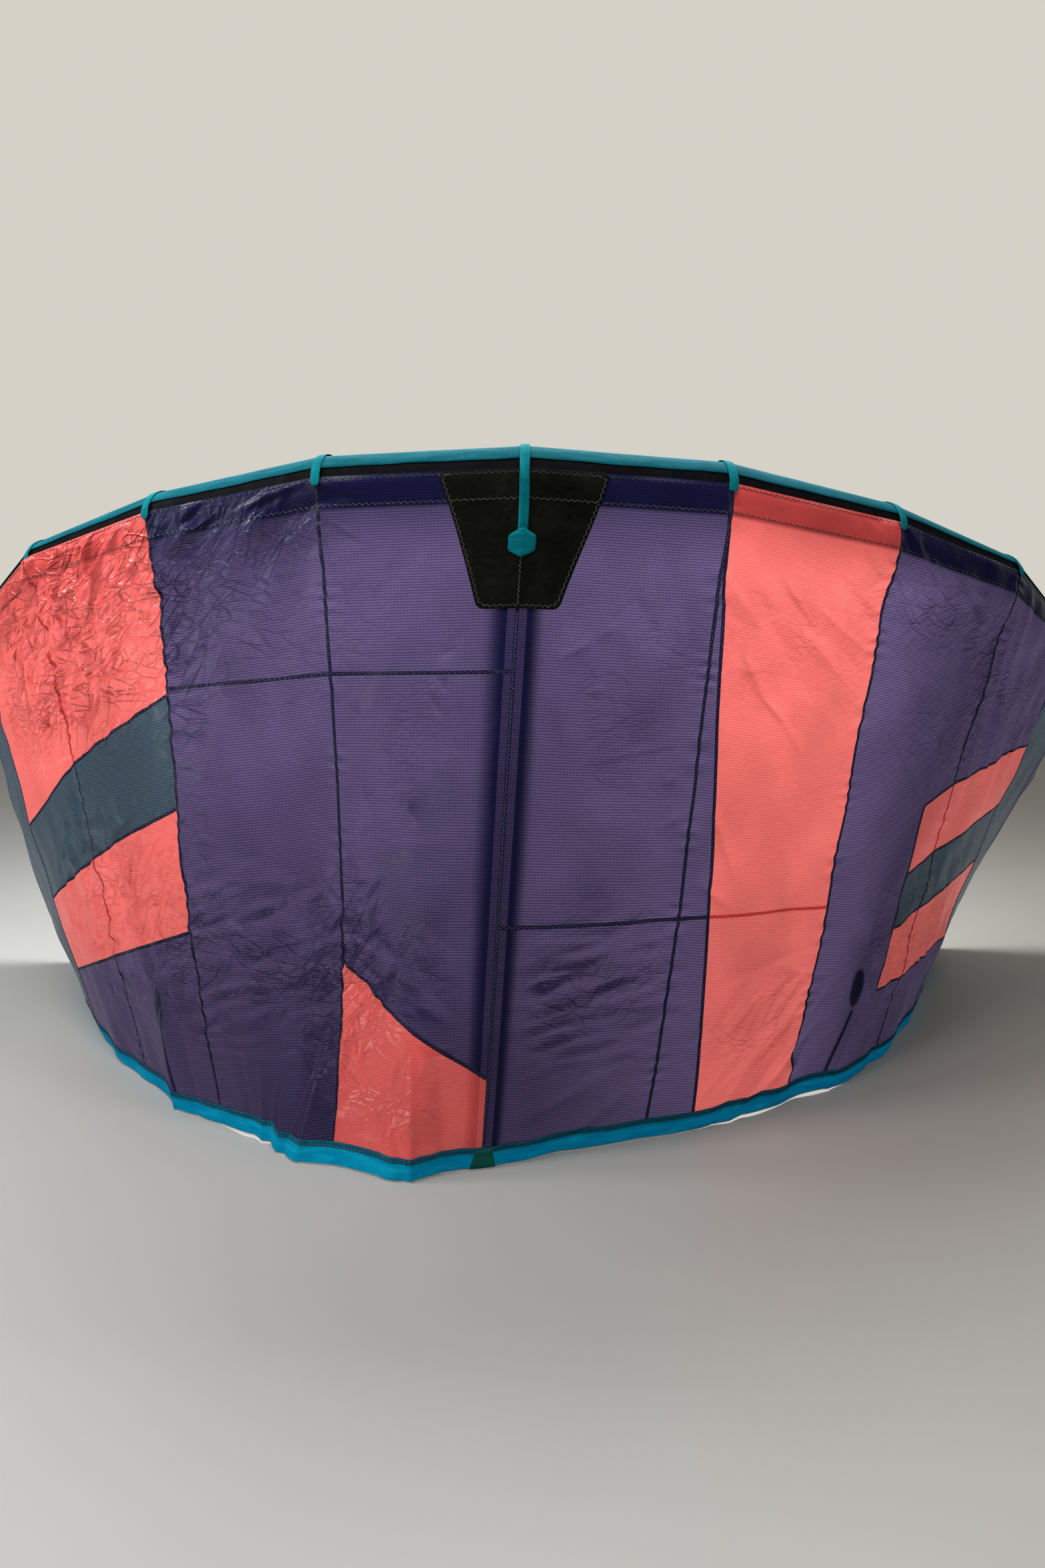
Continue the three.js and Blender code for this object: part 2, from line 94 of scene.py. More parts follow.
# Creases given one by one: both ends (s, v), half width, height of a ridge or depth of a trough.
CREASES = [
    (-2.20, -0.80, -2.43, 0.08, 0.014, -0.010),
    (-2.28, -0.60, -2.52, 0.10, 0.016, 0.008),
    (-2.05, -0.93, -2.20, 0.04, 0.010, -0.007),
    (-2.12, -0.30, -2.24, 0.07, 0.010, 0.006),
    (-2.42, -0.40, -2.64, 0.05, 0.012, 0.007),
    (-2.48, 0.02, -2.72, 0.11, 0.012, -0.007),
    (-2.76, 0.02, -2.95, 0.17, 0.016, 0.009),
    (-2.95, 0.14, -3.36, 0.26, 0.016, 0.008),
    (-3.22, 0.06, -3.48, 0.15, 0.014, -0.007),
    (-3.15, -0.90, -3.46, 0.04, 0.014, -0.008),
    (-2.88, -0.40, -3.18, 0.09, 0.014, -0.008),
    (-2.03, 0.08, -2.17, 0.24, 0.012, 0.006),
    (-2.55, 0.18, -2.80, 0.40, 0.022, 0.007),
    (-2.30, 0.26, -2.42, 0.50, 0.020, -0.006),
    (-3.05, 0.30, -3.15, 0.60, 0.022, -0.007),
    (-1.06, -0.95, -1.62, -0.25, 0.012, 0.009),
    (-1.12, -0.70, -1.44, -0.30, 0.010, -0.006),
    (-1.36, -0.76, -1.76, 0.04, 0.013, 0.009),
    (-1.46, -0.40, -1.70, 0.05, 0.012, -0.007),
    (-1.24, -0.05, -1.48, 0.03, 0.010, 0.006),
    (-1.10, 0.00, -1.26, 0.03, 0.008, 0.005),
    (-1.30, 0.06, -1.47, 0.11, 0.009, -0.004),
    (-1.33, 0.13, -1.49, 0.21, 0.009, -0.004),
    (-1.79, 0.11, -1.92, 0.15, 0.009, -0.004),
    (-1.41, 0.14, -1.57, 0.18, 0.009, 0.003),
    (-1.40, 0.04, -1.56, 0.06, 0.008, 0.004),
    (-1.70, 0.02, -1.94, 0.07, 0.016, 0.006),
    (-0.97, 0.70, -1.62, 1.19, 0.018, -0.013),
    (-1.06, 0.78, -1.35, 1.14, 0.014, 0.007),
    (-1.43, 0.77, -1.65, 1.17, 0.014, -0.011),
    (-1.34, 0.84, -1.48, 1.13, 0.012, 0.006),
    (-1.60, 0.86, -1.62, 1.15, 0.012, 0.009),
    (-1.78, 0.80, -1.64, 1.16, 0.018, -0.007),
    (-2.07, 0.67, -2.19, 0.82, 0.012, -0.008),
    (-2.43, 0.86, -2.48, 1.15, 0.012, 0.009),
    (-2.20, 0.82, -2.29, 1.14, 0.016, -0.006),
    (-1.93, 0.62, -1.64, 0.62, 0.010, 0.004),
    (-1.68, 0.63, -1.44, 0.60, 0.010, -0.004),
    (-1.75, 0.73, -1.44, 0.69, 0.010, 0.005),
    (-1.19, 0.71, -1.01, 0.67, 0.009, 0.004),
    (-0.46, 0.78, -0.42, 1.21, 0.014, 0.010),
    (-0.62, 0.82, -0.69, 1.14, 0.020, -0.006),
    (-0.30, 0.80, -0.19, 1.16, 0.018, -0.006),
    (-0.95, 0.76, -0.83, 0.87, 0.009, 0.006),
    (-0.90, 0.66, -0.73, 0.71, 0.009, 0.005),
    (-0.69, 0.65, -0.60, 0.70, 0.008, 0.004),
    (-0.44, 0.78, -0.64, 0.89, 0.010, 0.006),
    (-0.56, 0.88, -0.74, 0.93, 0.010, 0.006),
    (-0.58, 0.88, -0.44, 1.06, 0.010, -0.005),
    (-0.82, 0.53, -0.22, 0.50, 0.014, -0.003),
    (0.15, 0.75, 0.40, 0.71, 0.010, 0.004),
    (0.36, 0.71, 0.62, 0.72, 0.010, 0.004),
    (0.27, 0.75, 0.74, 0.76, 0.012, -0.004),
    (0.33, 0.79, 0.84, 0.77, 0.012, 0.005),
    (0.18, 0.94, 0.74, 0.88, 0.018, -0.007),
    (0.33, 1.03, 0.94, 0.89, 0.016, -0.007),
    (1.30, 0.95, 1.51, 0.87, 0.010, -0.005),
    (1.22, 1.10, 1.80, 0.83, 0.014, -0.008),
    (1.37, 1.07, 2.20, 0.85, 0.014, -0.008),
    (1.30, 1.08, 1.98, 0.85, 0.012, 0.006),
    (1.38, 0.74, 1.92, 0.70, 0.012, 0.003),
    (1.18, 0.20, 1.40, 0.29, 0.010, -0.003),
    (1.36, 0.27, 1.66, 0.37, 0.010, -0.003),
    (1.18, 0.10, 1.34, 0.15, 0.009, 0.003),
    (1.52, 0.10, 1.96, 0.18, 0.010, -0.004),
    (2.24, -0.05, 2.34, 0.09, 0.010, -0.005),
    (2.76, 0.03, 2.46, 0.11, 0.010, -0.004),
    (2.93, 0.00, 2.99, 0.27, 0.014, -0.006),
    (3.08, -0.30, 3.12, 0.30, 0.016, 0.006),
    (3.30, 0.00, 3.30, 0.24, 0.014, -0.006),
    (3.50, -0.20, 3.46, 0.30, 0.016, 0.006),
    (0.66, 0.05, 0.62, 0.30, 0.020, -0.004),
    (2.50, 0.85, 2.25, 1.12, 0.012, 0.006),
    (2.85, 0.70, 3.03, 1.20, 0.020, -0.007),
    (0.21, 0.23, 0.40, 0.20, 0.010, -0.005),
    (0.40, 0.20, 0.52, 0.17, 0.010, -0.004),
    (0.37, 0.28, 0.49, 0.27, 0.008, -0.003),
    (0.49, 0.43, 0.52, 0.59, 0.030, -0.009),
    (0.26, 0.28, 0.28, 0.36, 0.012, -0.004),
    (1.21, 0.21, 1.28, 0.24, 0.008, -0.005),
    (1.25, 0.25, 1.49, 0.31, 0.008, -0.005),
    (0.82, 0.42, 0.90, 0.40, 0.008, -0.004),
    (1.12, 0.45, 1.31, 0.57, 0.010, -0.005),
    (1.08, 0.57, 1.33, 0.62, 0.009, -0.005),
    (0.81, 0.49, 0.96, 0.46, 0.008, -0.004),
    (-0.40, 0.25, -0.34, 0.28, 0.007, 0.005),
    (-0.42, 0.28, -0.36, 0.32, 0.007, 0.005),
    (-0.28, 0.25, -0.26, 0.31, 0.007, -0.004),
    (-0.20, 0.21, -0.19, 0.31, 0.008, -0.004),
    (-0.39, 0.23, -0.30, 0.21, 0.007, 0.004),
    (-0.28, 0.36, -0.53, 0.45, 0.030, -0.010),
    (-0.53, 0.44, -0.55, 0.51, 0.014, 0.006),
    (-0.84, 0.42, -0.78, 0.46, 0.007, 0.004),
    (-0.67, 0.45, -0.57, 0.42, 0.007, -0.004),
    (-0.81, 0.46, -0.94, 0.55, 0.010, -0.005),
    (-0.55, 0.45, -0.47, 0.48, 0.007, 0.005),
    (-0.55, 0.38, -0.54, 0.44, 0.008, 0.004),
]

# Crumpled areas: centre (s, v), reach (x, y), a facet's length, width, way it lies in degrees, and height.
# A way is measured on the cloth laid flat, from +x towards the hem.
CRUMPLES = [
    (-2.50, 0.02, 0.26, 0.11, 0.085, 0.028, -64, 0.0125),
    (-3.10, 0.14, 0.30, 0.20, 0.090, 0.032, -72, 0.0120),
    (-2.70, 0.16, 0.28, 0.17, 0.046, 0.020, -50, 0.0080),
    (-2.80, 0.62, 0.28, 0.20, 0.046, 0.022, -50, 0.0070),
    (-1.52, -0.20, 0.20, 0.075, 0.110, 0.028, -32, 0.0100),
    (-1.50, 0.12, 0.22, 0.170, 0.130, 0.036, -46, 0.0048),
    (-1.93, 0.20, 0.06, 0.350, 0.040, 0.018, -30, 0.0034),
    (-1.70, 0.70, 0.22, 0.150, 0.070, 0.022, -18, 0.0065),
    (-0.98, 0.72, 0.12, 0.170, 0.050, 0.020, -40, 0.0070),
    (-0.65, 0.70, 0.16, 0.100, 0.050, 0.018, 20, 0.0036),
    (-0.55, 0.88, 0.17, 0.090, 0.070, 0.034, -50, 0.0055),
    (-0.55, 0.20, 0.18, 0.200, 0.110, 0.040, -60, 0.0026),
    (0.50, 0.74, 0.19, 0.130, 0.080, 0.020, -10, 0.0050),
    (0.55, 0.20, 0.18, 0.180, 0.120, 0.040, 82, 0.0024),
    (1.70, 0.84, 0.16, 0.110, 0.100, 0.028, -52, 0.0045),
    (1.55, 0.15, 0.20, 0.150, 0.090, 0.034, 40, 0.0026),
    (2.30, 0.02, 0.18, 0.110, 0.070, 0.024, 50, 0.0050),
    (3.20, 0.16, 0.30, 0.280, 0.150, 0.032, 84, 0.0060),
    (3.10, 0.72, 0.24, 0.180, 0.080, 0.030, 70, 0.0050),
    (-0.50, 0.45, 0.55, 0.300, 0.140, 0.070, -55, 0.0016),
    (1.30, 0.45, 0.75, 0.350, 0.150, 0.080, 60, 0.0015),
    (-3.02, 0.05, 0.18, 0.12, 0.030, 0.011, -62, 0.0050),
    (-2.66, 0.15, 0.22, 0.13, 0.032, 0.012, -42, 0.0048),
    (-2.30, 0.06, 0.14, 0.10, 0.036, 0.013, -66, 0.0040),
    (-3.40, 0.20, 0.16, 0.16, 0.036, 0.013, -75, 0.0048),
]
CRUMPLE_EDGE = 3.0  # where a crumpled area ends, in squares of its reach
CRUMPLE_STRAY = 0.4  # how far a facet's corner strays from an even grid, in steps of it
CREASE_SEED = 11
CREASE_REACH, CREASE_ROUND = 4, 0.25  # how far a crease is felt and how round its crest is, in half widths
WAVES = {"count": 16, "shortest": 0.10, "longest": 0.40, "height": 0.0007}
PUCKER = {"reach": 0.026, "pitch": 0.041, "height": 0.0024, "fades": (3.2, 3.9)}  # fades between two stations
STRUT_RIDGE = {"flat": 0.022, "foot": 0.062, "height": 0.008, "levels": (0.08, 0.3)}  # half widths first
STRUT_CALM = {"share": 0.8, "levels": (0.02, 0.12)}  # cloth that the centre strut keeps smooth
PATCH_CALM = {"share": 0.8, "stations": (0.36, 0.46), "levels": (0.12, 0.2)}  # and that the patch does
EDGE_CALM = (-1, -0.8)  # levels over which the creases start
TROUGH = {"least": 0.0009, "share": 0.6, "most": 0.015}  # how deep the tube behind it lets a crease go
NORMAL_STEP = {"s": 0.03, "v": 0.015}  # span and chord over which the cloth's slope is taken
HEM_UPRIGHT = (0.82, 0.92)  # levels over which the creases' direction turns level

# The canopy's colours: violet, with straight-edged blocks sewn in, each a convex outline of places (s, v).
BLOCKS = [
    ("slate", [(-5, -1), (-4, -1), (-4, 1.1), (-5, 1.1)]),
    ("coral", [(-4, -1), (-2, -1), (-2, 0.66), (-4, 0.82)]),
    ("slate", [(-4, 0.46), (-2, 0.26), (-2, 0.45), (-4, 0.64)]),
    ("coral", [(-1, 0.70), (0, 0.86), (0, 1.1), (-1, 1.1)]),
    ("coral", [(0.98, -1), (2, -1), (2, 1.1), (1.32, 1.1)]),
    ("coral", [(2.7, 0.44), (4, 0.24), (4, 0.76), (2.7, 0.82)]),
    ("slate", [(2.7, 0.58), (4, 0.40), (4, 0.55), (2.7, 0.69)]),
    ("slate", [(4, -1), (5, -1), (5, 1.1), (4, 1.1)]),
]
CLOTHS = ("violet", "coral", "slate")
CROSS_SEAMS = [((-2, 0.25), (0, 0.25)), ((0, 0.63), (2, 0.63))]  # where a panel is pieced across
SEAM_HALF = 0.0044  # half width of a sewn seam


def unit(v):
    length = np.linalg.norm(v, axis=-1, keepdims=True)
    return v / np.where(length > 0, length, 1)


def smooth(x, low, high):
    f = np.clip((x - low) / (high - low), 0, 1)
    return f * f * (3 - 2 * f)


def tube_seams():
    """The tube at each seam from the left tip: axis, radius, and the mitre's outward and upward ways."""
    top, radius = np.array(LEADING_EDGE["top"]), np.array(LEADING_EDGE["radius"])
    height = top - radius
    axis = np.zeros((2 * SEAMS + 1, 3))
    for side in (-1, 1):
        x, y = TUBE_PLACE
        for i, z in enumerate(height):
            axis[SEAMS + side * i] = x, y, z - x * math.tan(TUBE_ROLL)
            if i < SEAMS:
                run = math.sqrt(SEGMENT**2 - (z - height[i + 1]) ** 2)
                heading = math.radians(LEADING_EDGE["heading"][i])
                x += side * run * math.cos(heading)
                y += run * math.sin(heading)
    step = unit(np.diff(axis, axis=0))
    before, after = np.vstack([step[:1], step]), np.vstack([step, step[-1:]])
    along = unit(before + after)
    up = unit(UP - along * along[:, 2:])
    out = np.cross(along, up) / np.sum(along * after, axis=1, keepdims=True)
    return axis - ORIGIN, radius[np.abs(np.arange(-SEAMS, SEAMS + 1))], out, up


AXIS, RADIUS, OUTWARD, UPWARD = tube_seams()


def panel_of(s):
    """The panel that a station is in, and how far across it."""
    at = np.clip(s + SEAMS, 0, 2 * SEAMS)
    k = np.minimum(at.astype(int), 2 * SEAMS - 1)
    return k, at - k


def on_tube(s, angle, off):
    """A point off the tube's surface, at an angle round it."""
    s, angle, off = np.broadcast_arrays(np.asarray(s, float), angle, off)
    k, f = panel_of(s)

    def ring(i):
        reach = (RADIUS[i] + off)[..., None]
        out, up = np.cos(angle)[..., None], np.sin(angle)[..., None]
        return AXIS[i] + reach * (out * OUTWARD[i] + up * UPWARD[i])

    return ring(k) + f[..., None] * (ring(k + 1) - ring(k))


def along_hem(column, s):
    """A smooth curve through one column of the trailing edge table."""
    row = np.array(TRAILING_EDGE[column])
    row = np.concatenate([[2 * row[0] - row[1]], row, [2 * row[-1] - row[-2]]])
    k, f = panel_of(s)
    a, b, c, d = (row[k + i] for i in range(4))
    start, end = (c - a) / 2, (d - b) / 2
    return b + f * (start + f * (3 * (c - b) - 2 * start - end + f * (2 * (b - c) + start + end)))


def hem_place(s):
    lift = sum(height * np.exp(-(((s - at) / width) ** 2)) for at, width, height in HEM_LIFTS)
    return np.stack([along_hem("x", s), along_hem("y", s), lift], -1) - ORIGIN


def level_outward(s):
    """The tube's and the hem's level outward directions at a station."""
    level = np.array([1.0, 1.0, 0.0])
    tube = unit((on_tube(s, 0, 1) - on_tube(s, 0, 0)) * level)
    step = 1e-3
    tangent = unit((hem_place(s + step) - hem_place(s - step)) * level)
    return tube, np.cross(tangent, UP)


def chord(s, t):
    """The canopy hanging from the seam under the tube to the floor, with its bow, swell and main folds."""
    top = on_tube(s, CANOPY_SEAM, CLOTH_OFF)
    tube, hem = level_outward(s)
    k, f = panel_of(s)
    push = along_hem("bow", s) * np.sin(np.pi * t**BOW_SKEW)
    push += np.array(TRAILING_EDGE["swell"])[k] * np.sin(np.pi * f) * np.sin(np.pi * t)
    for at, lean, width, start, depth in FOLDS:
        push += depth * smooth(t, start, 1) * np.exp(-(((s - at - lean * (1 - t)) / width) ** 2))
    level = t[..., None]
    return top + level * (hem_place(s) - top) + unit(tube + level * (hem - tube)) * push[..., None]


def base(s, v):
    """The cloth before its creases: round the tube, off it in one smooth curve, and down the chord."""
    angle = CANOPY_EDGE + (np.minimum(v, LEAVE) + 1) * (CANOPY_SEAM - CANOPY_EDGE)
    wrap = on_tube(s, angle, CLOTH_OFF)
    hang = chord(s, np.clip(v, SETTLE, 1))
    settle, step = np.full(s.shape, SETTLE), 0.01
    start, end = on_tube(s, 0, CLOTH_OFF), chord(s, settle)
    length = np.linalg.norm(end - start, axis=-1, keepdims=True)
    trail = unit(chord(s, settle + step) - end) * length
    u = np.interp(v, (LEAVE, 0, SETTLE), (0, LEAVE_SHARE, 1))[..., None]
    curve = (1 + 2 * u) * (1 - u) ** 2 * start - u * (1 - u) ** 2 * length * UP
    curve += u**2 * (3 - 2 * u) * end + u**2 * (u - 1) * trail
    level = v[..., None]
    return np.where(level <= LEAVE, wrap, np.where(level >= SETTLE, hang, curve))


def base_normal(s, v):
    """The cloth's outward direction, level by the hem."""
    wide, high = NORMAL_STEP["s"], NORMAL_STEP["v"]
    across = base(s + wide, v) - base(s - wide, v)
    down = base(s, np.clip(v + high, -1, 1)) - base(s, np.clip(v - high, -1, 1))
    normal = unit(np.cross(down, across))
    normal[..., 2] *= 1 - smooth(v, *HEM_UPRIGHT)
    return unit(normal)


def above_floor(s, height):
    """The level at which the cloth is at a height above the floor."""
    return 1 - height / on_tube(s, CANOPY_SEAM, 0)[..., 2]


def laid_flat(s, v):
    return np.stack([s * PANEL, np.where(v < 0, v * WRAP, v * CHORD)], -1)


def stood_up(flat):
    """The station and level of places on the cloth laid flat."""
    return flat[..., 0] / PANEL, np.where(flat[..., 1] < 0, flat[..., 1] / WRAP, flat[..., 1] / CHORD)


def crumple_facets():
    """Each crumpled area laid flat: its middle and reach, its triangles, and the heights at their corners."""
    draw = np.random.default_rng(CREASE_SEED)
    areas = []
    for s, v, reach_x, reach_y, length, width, way, height in CRUMPLES:
        middle, reach = laid_flat(np.array(s), np.array(v)), np.array([reach_x, reach_y])
        turn = math.radians(way)
        ways = np.array([[math.cos(turn), math.sin(turn)], [-math.sin(turn), math.cos(turn)]])
        count = (2 * reach.max() / (length, width)).astype(int) + 1
        steps = np.stack(np.meshgrid(*(np.arange(-n, n + 1.0) for n in count)), -1).reshape(-1, 2)
        steps += draw.uniform(-CRUMPLE_STRAY, CRUMPLE_STRAY, steps.shape)
        crest = draw.normal(size=len(steps)) * height
        offset = steps @ (ways * [[length], [width]])
        away = ((offset / reach) ** 2).sum(1)
        kept = away < CRUMPLE_EDGE
        crest = crest * np.clip(1 - away / CRUMPLE_EDGE, 0, 1)
        triangles = np.array(delaunay_2d_cdt([Vector(p) for p in steps[kept]], [], [], 0, 1e-6)[2])
        corners = (middle + offset[kept])[triangles]
        areas.append((middle, reach * math.sqrt(CRUMPLE_EDGE), corners, crest[kept][triangles]))
    return areas


def facet_heights(flat, corners, crests):
    """Heights of flat triangular facets at places laid flat, and 0 outside them."""
    height = np.zeros(len(flat))
    for (a, b, c), crest in zip(corners, crests):
        low, high = np.minimum(np.minimum(a, b), c), np.maximum(np.maximum(a, b), c)
        near = np.flatnonzero(((flat >= low) & (flat <= high)).all(1))
        (bx, by), (cx, cy) = b - a, c - a
        x, y = (flat[near] - a).T
        area = bx * cy - by * cx
        to_b, to_c = (x * cy - y * cx) / area, (bx * y - by * x) / area
        held = (to_b >= 0) & (to_c >= 0) & (to_b + to_c <= 1)
        height[near[held]] = (crest[0] + to_b * (crest[1] - crest[0]) + to_c * (crest[2] - crest[0]))[held]
    return height


def wave_rows():
    """Long shallow waves all over the cloth: wave vectors and phases."""
    draw = np.random.default_rng(CREASE_SEED + 1)
    count = WAVES["count"]
    way = draw.uniform(0, math.pi, count)
    number = 2 * math.pi / draw.uniform(WAVES["shortest"], WAVES["longest"], count)
    return np.stack([np.cos(way) * number, np.sin(way) * number]), draw.uniform(0, 2 * math.pi, count)


FACETS = crumple_facets()
WAVE_VECTORS, WAVE_PHASES = wave_rows()


def near_places(flat, middle, reach):
    return np.flatnonzero((np.abs(flat - middle) < reach).all(1))


def crease_heights(flat):
    """Heights of the waves, the creases and the crumpled areas at places laid flat."""
    height = np.sin(flat @ WAVE_VECTORS + WAVE_PHASES).sum(1) * WAVES["height"]
    for s0, v0, s1, v1, width, crest in CREASES:
        start, end = laid_flat(np.array([s0, s1]), np.array([v0, v1]))
        run = end - start
        near = near_places(flat, (start + end) / 2, np.abs(run) / 2 + CREASE_REACH * width)
        offset = flat[near] - start
        u = np.clip(offset @ run / (run @ run), 0, 1)
        across = (offset[:, 0] * run[1] - offset[:, 1] * run[0]) / math.hypot(*run)
        crown = CREASE_ROUND * width
        rounded = np.sqrt(across**2 + crown**2) - crown
        height[near] += crest * np.sin(np.pi * u) * np.exp(-rounded / width)
    for middle, reach, corners, crests in FACETS:
        near = near_places(flat, middle, reach)
        if len(near):
            height[near] += facet_heights(flat[near], corners, crests)
    return height


def pucker_heights(s, x, y):
    """Ripples along the panel seams, each seam's unlike the next's, down to none towards the tips."""
    seam = np.round(s)
    ripple = np.sin(2 * np.pi * y / PUCKER["pitch"] + 4 * np.sin(13 * y + 2 * seam))
    ripple *= np.sin(17 * y + 5 * seam) ** 2 * (1 - smooth(np.abs(s), *PUCKER["fades"]))
    return PUCKER["height"] * ripple * np.exp(-(((x - seam * PANEL) / PUCKER["reach"]) ** 2))


def beside_strut(x):
    """1 over the centre strut and 0 well away from it."""
    return 1 - smooth(np.abs(x), STRUT_RIDGE["foot"], 2 * STRUT_RIDGE["foot"])


def relief(s, v):
    """How far the creases push the cloth out."""
    flat = laid_flat(s, v)
    x, y = flat[..., 0], flat[..., 1]
    height = crease_heights(flat.reshape(-1, 2)).reshape(s.shape) + pucker_heights(s, x, y)
    ridge = 1 - smooth(np.abs(x), STRUT_RIDGE["flat"], STRUT_RIDGE["foot"])
    calm = STRUT_CALM["share"] * beside_strut(x) * smooth(v, *STRUT_CALM["levels"])
    height = height * (1 - calm) + STRUT_RIDGE["height"] * ridge * smooth(v, *STRUT_RIDGE["levels"])
    on_patch = (1 - smooth(np.abs(s), *PATCH_CALM["stations"])) * (1 - smooth(v, *PATCH_CALM["levels"]))
    height *= (1 - PATCH_CALM["share"] * on_patch) * smooth(v, *EDGE_CALM)
    radius = np.interp(s, np.arange(-SEAMS, SEAMS + 1), RADIUS)
    fall = np.clip(y - LEAVE * WRAP, 0, radius)
    room = TROUGH["least"] + TROUGH["share"] * (radius - np.sqrt(radius**2 - fall**2))
    room = np.minimum(room, TROUGH["most"])
    return np.where(height < 0, -room * np.tanh(-height / room), height)


def skin(s, v, off=0.0):
    """A point off the creased cloth."""
    s, v = np.broadcast_arrays(np.asarray(s, float), np.asarray(v, float))
    return base(s, v) + base_normal(s, v) * (relief(s, v) + off)[..., None]


def grid_faces(rows, columns, closed=False):
    """Quads of a grid of points whose rows run down and whose columns run to the right, facing out."""
    at = np.arange(rows * columns).reshape(rows, columns)
    if closed:
        at = np.hstack([at, at[:, :1]])
    return np.stack([at[:-1, :-1], at[1:, :-1], at[1:, 1:], at[:-1, 1:]], -1).reshape(-1, 4)


def slab_faces(rows, columns):
    """Quads of two grids, the outer face's points first, joined round their edge."""
    at = np.arange(rows * columns).reshape(rows, columns)
    edge = np.concatenate([at[0, :-1], at[:-1, -1], at[-1, :0:-1], at[:0:-1, 0]])
    ahead = np.roll(edge, -1)
    back = rows * columns
    outer = grid_faces(rows, columns)
    return np.vstack([outer, outer[:, ::-1] + back, np.stack([edge, ahead, ahead + back, edge + back], -1)])


def capped_faces(rows, sides):
    """Faces of a tube of closed rings, with a cap on each end."""
    last = rows * sides
    caps = [list(range(sides)), list(range(last - 1, last - sides - 1, -1))]
    return grid_faces(rows, sides, closed=True).tolist() + caps


def new_mesh(name, points, faces, materials):
    mesh = bpy.data.meshes.new(name)
    faces = faces if isinstance(faces, list) else faces.tolist()
    mesh.from_pydata(np.reshape(points, (-1, 3)).tolist(), [], faces)
    for material in materials:
        mesh.materials.append(material)
    return mesh


def read(items, key, size=1, kind=float):
    """A value, or a row of them, of each of a mesh's points, faces or face corners."""
    values = np.zeros(size * len(items), kind)
    items.foreach_get(key, values)
    return values.reshape(-1, size) if size > 1 else values


def add_uv(mesh, name, places):
    """Lays a mesh out flat, by each face corner's place."""
    mesh.uv_layers.new(name=name).data.foreach_set("uv", places.ravel())


def add_object(name, data):
    obj = bpy.data.objects.new(name, data)
    bpy.context.scene.collection.objects.link(obj)
    return obj


def dress(mesh, stands_for=()):
    """Makes a smooth piece of a mesh, which rides on the one body."""
    mesh.shade_smooth()
    obj = add_object(mesh.name, mesh)
    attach(obj, "root")
    if stands_for:
        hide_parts(*stands_for)
    return obj


def piece(name, points, faces, materials, stands_for=(), uv=None, face_material=None):
    mesh = new_mesh(name, points, faces, materials)
    if face_material is not None:
        mesh.polygons.foreach_set("material_index", np.asarray(face_material, np.int32))
    if uv is not None:
        add_uv(mesh, "cloth", np.reshape(uv, (-1, 2))[read(mesh.loops, "vertex_index", kind=np.int32)])
    return dress(mesh, stands_for)


def strip(name, outer, inner, uv, material, slot, stands_for=()):
    """A thin strip between two grids of points."""
    faces = slab_faces(*uv.shape[:2])
    return piece(name, np.stack([outer, inner]), faces, [material], stands_for, np.stack([uv, uv]))


def slab(name, s, v, off, thick, material, slot, stands_for=(), uv=None):
    """A thin strip on the cloth, between two offsets from it."""
    uv = laid_flat(*np.broadcast_arrays(s, v)) if uv is None else uv
    return strip(name, skin(s, v, off + thick), skin(s, v, off), uv, material, slot, stands_for)


def numbered(name, first=1, last=2 * SEAMS):
    return [f"{name}_{k}" for k in range(first, last + 1)]


# Materials


def node(tree, kind, inputs=None, **settings):
    """Adds a shader node; an input is a value or the socket that feeds it."""
    made = tree.nodes.new("ShaderNode" + kind)
    for key, value in settings.items():
        setattr(made, key, value)
    for key, value in (inputs or {}).items():
        if isinstance(value, bpy.types.NodeSocket):
            tree.links.new(value, made.inputs[key])
        else:
            made.inputs[key].default_value = value
    return made


def new_material(name):
    material = bpy.data.materials.new(name)
    material.use_nodes = True
    material.node_tree.nodes.clear()
    return material, material.node_tree


def rgb(colour, by=1.0):
    return (*(c * by for c in colour), 1.0)


def spread(tree, value, low, high, start=0.3, end=0.7):
    """A texture's value, stretched from start..end to low..high."""
    ranged = node(tree, "MapRange", {0: value, 1: start, 2: end, 3: low, 4: high})
    return ranged.outputs[0]


def noise(tree, place, scale, detail=3.0, roughness=0.55):
    inputs = {"Vector": place, "Scale": scale, "Detail": detail, "Roughness": roughness}
    return node(tree, "TexNoise", inputs).outputs[0]


def blend(tree, factor, one, other):
    return node(tree, "Mix", {0: factor, 6: one, 7: other}, data_type="RGBA").outputs[2]


def maths(tree, operation, one, other):
    return node(tree, "Math", {0: one, 1: other}, operation=operation).outputs[0]


def tinted(tree, colour, value):
    """A colour made lighter or darker."""
    return node(tree, "HueSaturation", {"Color": colour, "Value": value}).outputs[0]


def uv_place(tree, name="cloth"):
    return node(tree, "UVMap", uv_map=name).outputs[0]


def object_place(tree):
    return node(tree, "TexCoord").outputs["Object"]


def cell_edges(tree, place, scale):
    """The distance to the nearest edge of a net of cells."""
    return node(tree, "TexVoronoi", {"Vector": place, "Scale": scale}, feature="DISTANCE_TO_EDGE").outputs[0]


def principled(tree, tone, roughness, gloss, normal=None):
    inputs = {"Base Color": tone, "Roughness": roughness, "Specular IOR Level": gloss}
    if normal is not None:
        inputs["Normal"] = normal
    return node(tree, "BsdfPrincipled", inputs).outputs[0]


def bump(tree, height, strength, distance, normal=None):
    inputs = {"Height": height, "Strength": strength, "Distance": distance}
    if normal is not None:
        inputs["Normal"] = normal
    return node(tree, "Bump", inputs).outputs[0]


